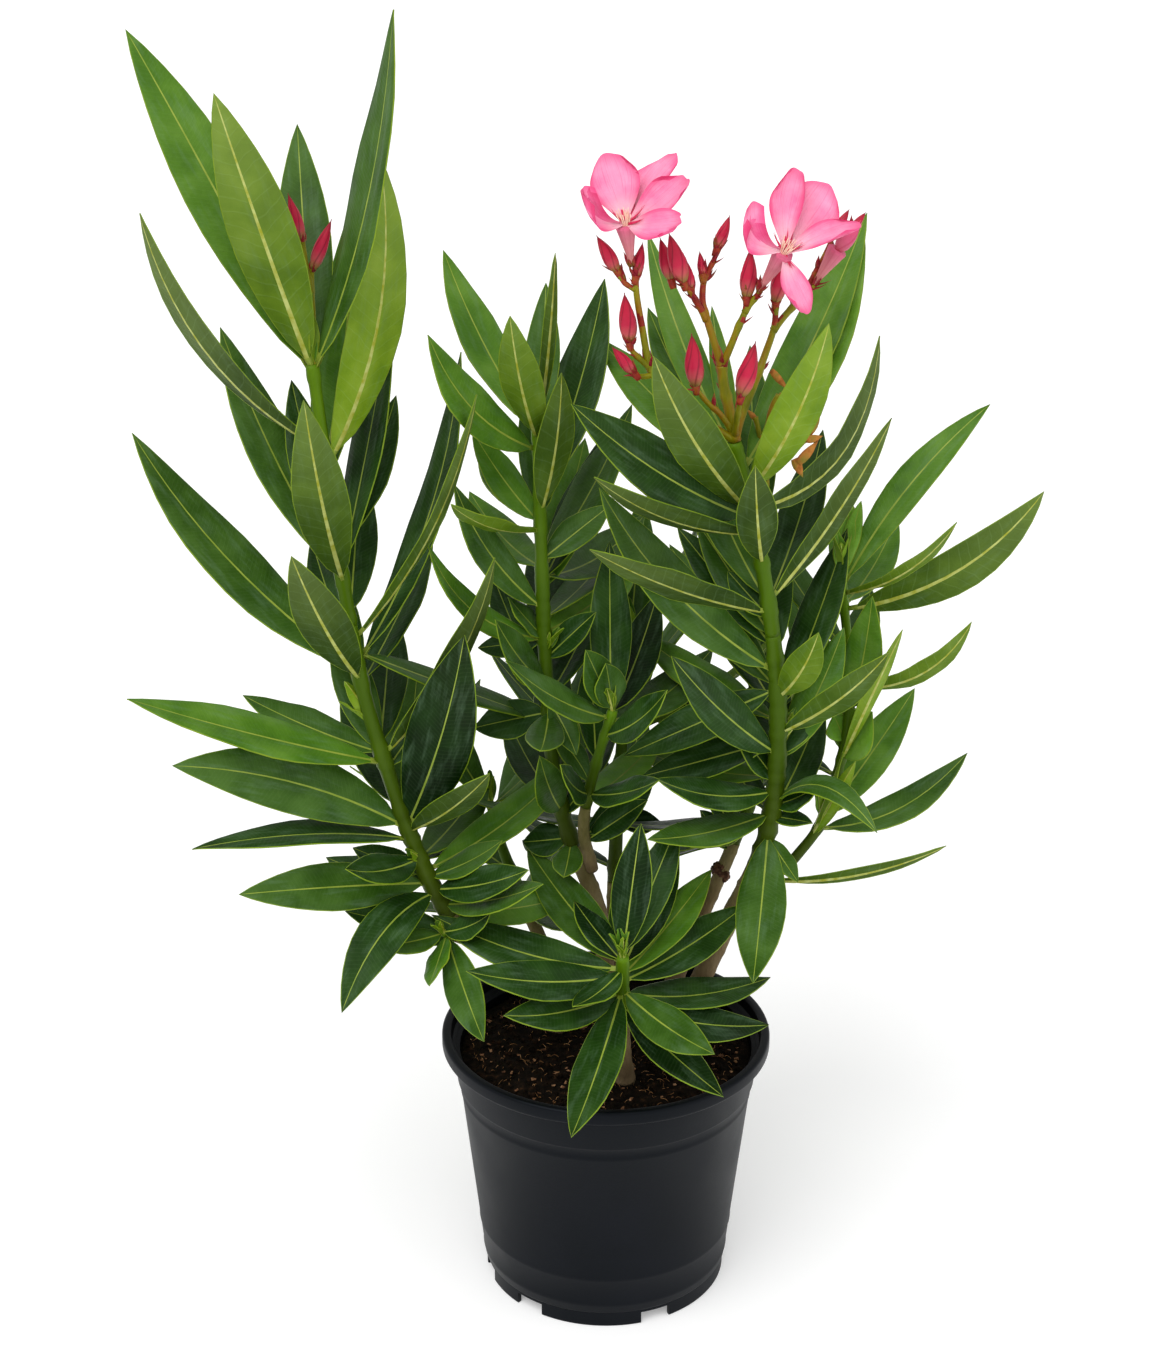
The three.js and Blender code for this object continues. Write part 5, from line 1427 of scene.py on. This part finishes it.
def bloom_tube(offset, heading, rise, length):
    """A bloom's tube, slender at its foot and flaring to the throat, with its five sepals. Gives the throat
    and the way that the tube points."""
    foot, axis = Vector(offset) + HEAD_FOOT, towards(heading, rise)

    def radius_at(share, turn):
        flare = blend(TUBE_FOOT_RADIUS, TUBE_THROAT_RADIUS, max(0, (share - 0.15) / 0.85) ** 1.1)
        return flare * (1 + 0.07 * math.cos(5 * turn))
    verts = tube(throats, straight(foot, axis, length), 0, 1, radius_at, TUBE_SIDES, TUBE_RING)
    wrap_map(throat_maps, verts, foot, axis, length, TUBE_LINES, 0)
    sepals(scales, foot, axis, draw, SEPALS, start=0, offset=1.1, lean=0.3, lengths=(5, 8), width=2.5)
    return foot + axis * length, axis


for bloom in BLOOMS:
    throat, axis = bloom_tube(*bloom["tube"])
    for number in range(5):
        for thread in range(3):
            lean = beside(axis, 2 * math.pi * number / 5 + 0.4 * thread)
            spread = draw.uniform(0.4, 1.5)
            path = [list(throat + axis * (THREAD_STEP * i - 2) + lean * (1.1 + spread * i)) for i in range(4)]
            tube(streaks, path, 0, draw.uniform(0.6, 1), lambda share, turn: THREAD_RADIUS * (1 - 0.6 * share),
                 5, 2.5, material=1)
    for row in bloom["petals"]:
        petal(petals, petal_maps, throat, axis, row, draw)
        ahead = towards(row[0], row[1])
        for aside in (-0.108, 0, 0.108):
            way = (ahead + axis.cross(ahead) * aside).normalized()
            bract(streaks, throat + way * 1.5 + axis * 0.6, way, draw.uniform(*STREAK_LENGTHS),
                  STREAK_WIDTH, draw)
throat, axis = bloom_tube(*OPENING_TUBE)
spindle(buds, bud_maps, throat - axis, towards(*OPENING_BUD[:2]), OPENING_BUD[2],
        TUBE_THROAT_RADIUS * OPENING_BUD_SHARE, draw, 1)
piece("flower_bracts", scales, [bract_red])
piece("flower_buds", buds, [bud_crimson, bud_pink], smooth=math.radians(60))
piece("flower_petals", petals, [petal_pink, petal_back_shaded], smooth=math.radians(70))
piece("flower_tubes", throats, [tube_pink])
piece("flower_threads", streaks, [throat_deep, thread_cream])

# ---- Young buds and a spent stalk ----
# Two slender young buds stand on a thin stalk between the top leaves of the left shoot. Behind the flower
# head a short stalk from an earlier cluster still holds its dry, curled remains.
# Paths in millimetres. A young bud is [its foot, heading, rise, length], and a dry scrap is [its foot, its
# tip, its width].
YOUNG_STALK = [[-151, -20, 549], [-151, -16, 584], [-154, -12, 603], [-155, -12, 614]]
YOUNG_FORK = [[-151, -16, 580], [-151, -14, 588], [-151, -12, 599]]
YOUNG_BUDS = [[[-155, -12, 613], 180, 75, 25], [[-151, -12, 598], 11, 67, 28]]
SPENT_STALKS = [[[84, 4, 470], [83.6, 5, 489], [80, 5, 507], [77, 5, 518]],
                [[80.6, 5, 504], [84, 5, 514], [86, 5, 524], [89, 5, 530]],
                [[83.6, 5, 489], [90, 4, 495], [98, 4, 500], [104, 4, 506]]]
SPENT_SCRAPS = [[[84.6, 5, 543], [94.3, 3, 532], 4.5], [[89, 5, 530], [95, 4, 527], 4],
                [[105, 4, 509], [112, 4, 521], 6], [[104, 3, 506], [113, 2, 508], 5],
                [[100, 1, 494], [111, 0, 506], 6], [[98, 2, 496], [103, 0, 486], 6],
                [[77, 5, 517], [73, 3, 522], 3.5], [[80, 4, 507], [87, 2, 511], 3]]
YOUNG_BUD_RADIUS_SHARE = 0.125
young, spent = bmesh.new(), bmesh.new()
young_maps = young.loops.layers.uv.new("bud")
draw = random.Random(23)
tube(young, YOUNG_STALK, 0, 1, stalk_radius([1.6, 1.2], 66), 10, 2.4, material=1)
tube(young, YOUNG_FORK, 0, 1, stalk_radius([1.3, 1.1], 20), 10, 2, material=1)
for point, heading, rise, length in YOUNG_BUDS:
    way = towards(heading, rise)
    spindle(young, young_maps, Vector(point), way, length, length * YOUNG_BUD_RADIUS_SHARE, draw)
    sepals(young, Vector(point), way, draw, 4, start=0.4, offset=1, lean=0.3, lengths=(5, 8), width=2.2,
           material=2)
piece("young_buds", young, [bud_crimson, stalk_olive, bract_red], smooth=math.radians(60))
for path in SPENT_STALKS:
    tube(spent, path, 0, 1, stalk_radius([1.8, 1.3], 40), 12, 2.2)
for start, end, width in SPENT_SCRAPS:
    way = Vector(end) - Vector(start)
    bract(spent, Vector(start), way.normalized(), way.length, width, draw, 1, AWAY)
piece("spent_stalk", spent, [stalk_olive, dry_brown])

# ---- Growing tips ----
# Each shoot but the right one, which ends in the flower head, ends in a tight tuft of bright young
# leaves, and a few more such tufts stand in the angles of older leaves.
# A tuft is [shoot, height of its foot, heading, rise, length, number of leaves, tone word]
TUFTS = [
    ["left", 549, 200, 84, 46, 4, "fresh"], ["middle", 508, 200, 86, 34, 4, "fresh"],
    ["inner", 353, 200, 80, 26, 4, "mid"], ["side", 409, 150, 84, 34, 4, "young"],
    ["front", 238, 250, 74, 20, 5, "fresh"], ["twig", 230, 230, 60, 14, 3, "fresh"],
    ["rear", 319, 60, 70, 24, 3, "fresh"], ["back", 359, 80, 84, 30, 4, "fresh"],
    ["far", 265, 90, 80, 24, 3, "fresh"], ["left", 352, 165, 52, 34, 3, "fresh"],
    ["left", 268, 230, 40, 16, 3, "fresh"], ["right", 330, 20, 60, 26, 3, "fresh"],
    ["side", 262, 90, 75, 28, 3, "young"], ["middle", 380, 330, 60, 22, 3, "fresh"],
]
TUFT_LEAST_WIDTH = 3
TUFT_WIDTH_SHARE = 0.2
TUFT_SAG = -0.03
TUFT_FOLD = 0.5
tuft_leaves = []
draw = random.Random(31)
for name, height, heading, rise, length, count, word in TUFTS:
    path = SHOOTS[name]["path"]
    foot = curve_point(path, share_at_height(path, height))
    axis = towards(heading, rise)
    for number in range(count):
        out = beside(axis, 2 * math.pi * number / count + draw.uniform(-0.3, 0.3))
        reach = length * draw.uniform(0.6, 1)
        chord = (axis + out * draw.uniform(0.1, 0.36)).normalized()
        tuft_leaves.append({
            "foot": foot, "chord": chord, "face": across(-out, chord), "up": across(UP, chord),
            "length": reach, "width": TUFT_LEAST_WIDTH + TUFT_WIDTH_SHARE * reach, "sag": TUFT_SAG,
            "fold": TUFT_FOLD, "tone": word})
joined_leaves("leaves_young", tuft_leaves, [], 32)

# ---- Camera, light and floor ----
# The photograph's own viewpoint, a plain white floor that glows faintly, one large soft sun above on the
# left, a weaker one on the right, and a pale room all round.
CAMERA_PITCH = 20.93
CAMERA_LENS = 60
SENSOR_WIDTH = 36
# A sun is [name, the side that it stands on, its spread in degrees, its power]
SUNS = [["key", (-0.5, -0.8, 1.25), 48, 1.75], ["fill", (0.9, -0.7, 0.8), 70, 0.6]]
ROOM_POWER = 0.58
FLOOR_REACH = 30
FLOOR_ROUGHNESS = 0.9
FLOOR_WHITE = (0.82, 0.82, 0.82, 1)
FLOOR_GLOW = 0.28
camera_data = bpy.data.cameras.new("camera")
camera_data.lens = CAMERA_LENS
camera_data.sensor_width = SENSOR_WIDTH
camera_data.clip_end = 100
camera = placed("camera", camera_data)
camera.location = VIEWPOINT * MM
camera.rotation_euler = (math.radians(90 - CAMERA_PITCH), 0, 0)
bpy.context.scene.camera = camera
for name, way, spread, power in SUNS:
    sun = bpy.data.lights.new(name, "SUN")
    sun.angle = math.radians(spread)
    sun.energy = power
    placed(name, sun).rotation_euler = (-Vector(way)).to_track_quat("-Z", "Y").to_euler()
room = bpy.context.scene.world or bpy.data.worlds.new("room")
bpy.context.scene.world = room
room.use_nodes = True
feed(room.node_tree, room.node_tree.nodes["Background"], {"Color": (1, 1, 1, 1), "Strength": ROOM_POWER})

ground = bmesh.new()
bmesh.ops.create_grid(ground, x_segments=1, y_segments=1, size=FLOOR_REACH)
floor = placed("floor", baked("floor", ground))
floor_white = bpy.data.materials.new("floor_white")
floor_white.use_nodes = True
coat(floor_white.node_tree, {"Base Color": FLOOR_WHITE, "Roughness": FLOOR_ROUGHNESS,
                             "Emission Color": (1, 1, 1, 1), "Emission Strength": FLOOR_GLOW})
floor.data.materials.append(floor_white)
bpy.context.scene.view_settings.view_transform = "Standard"
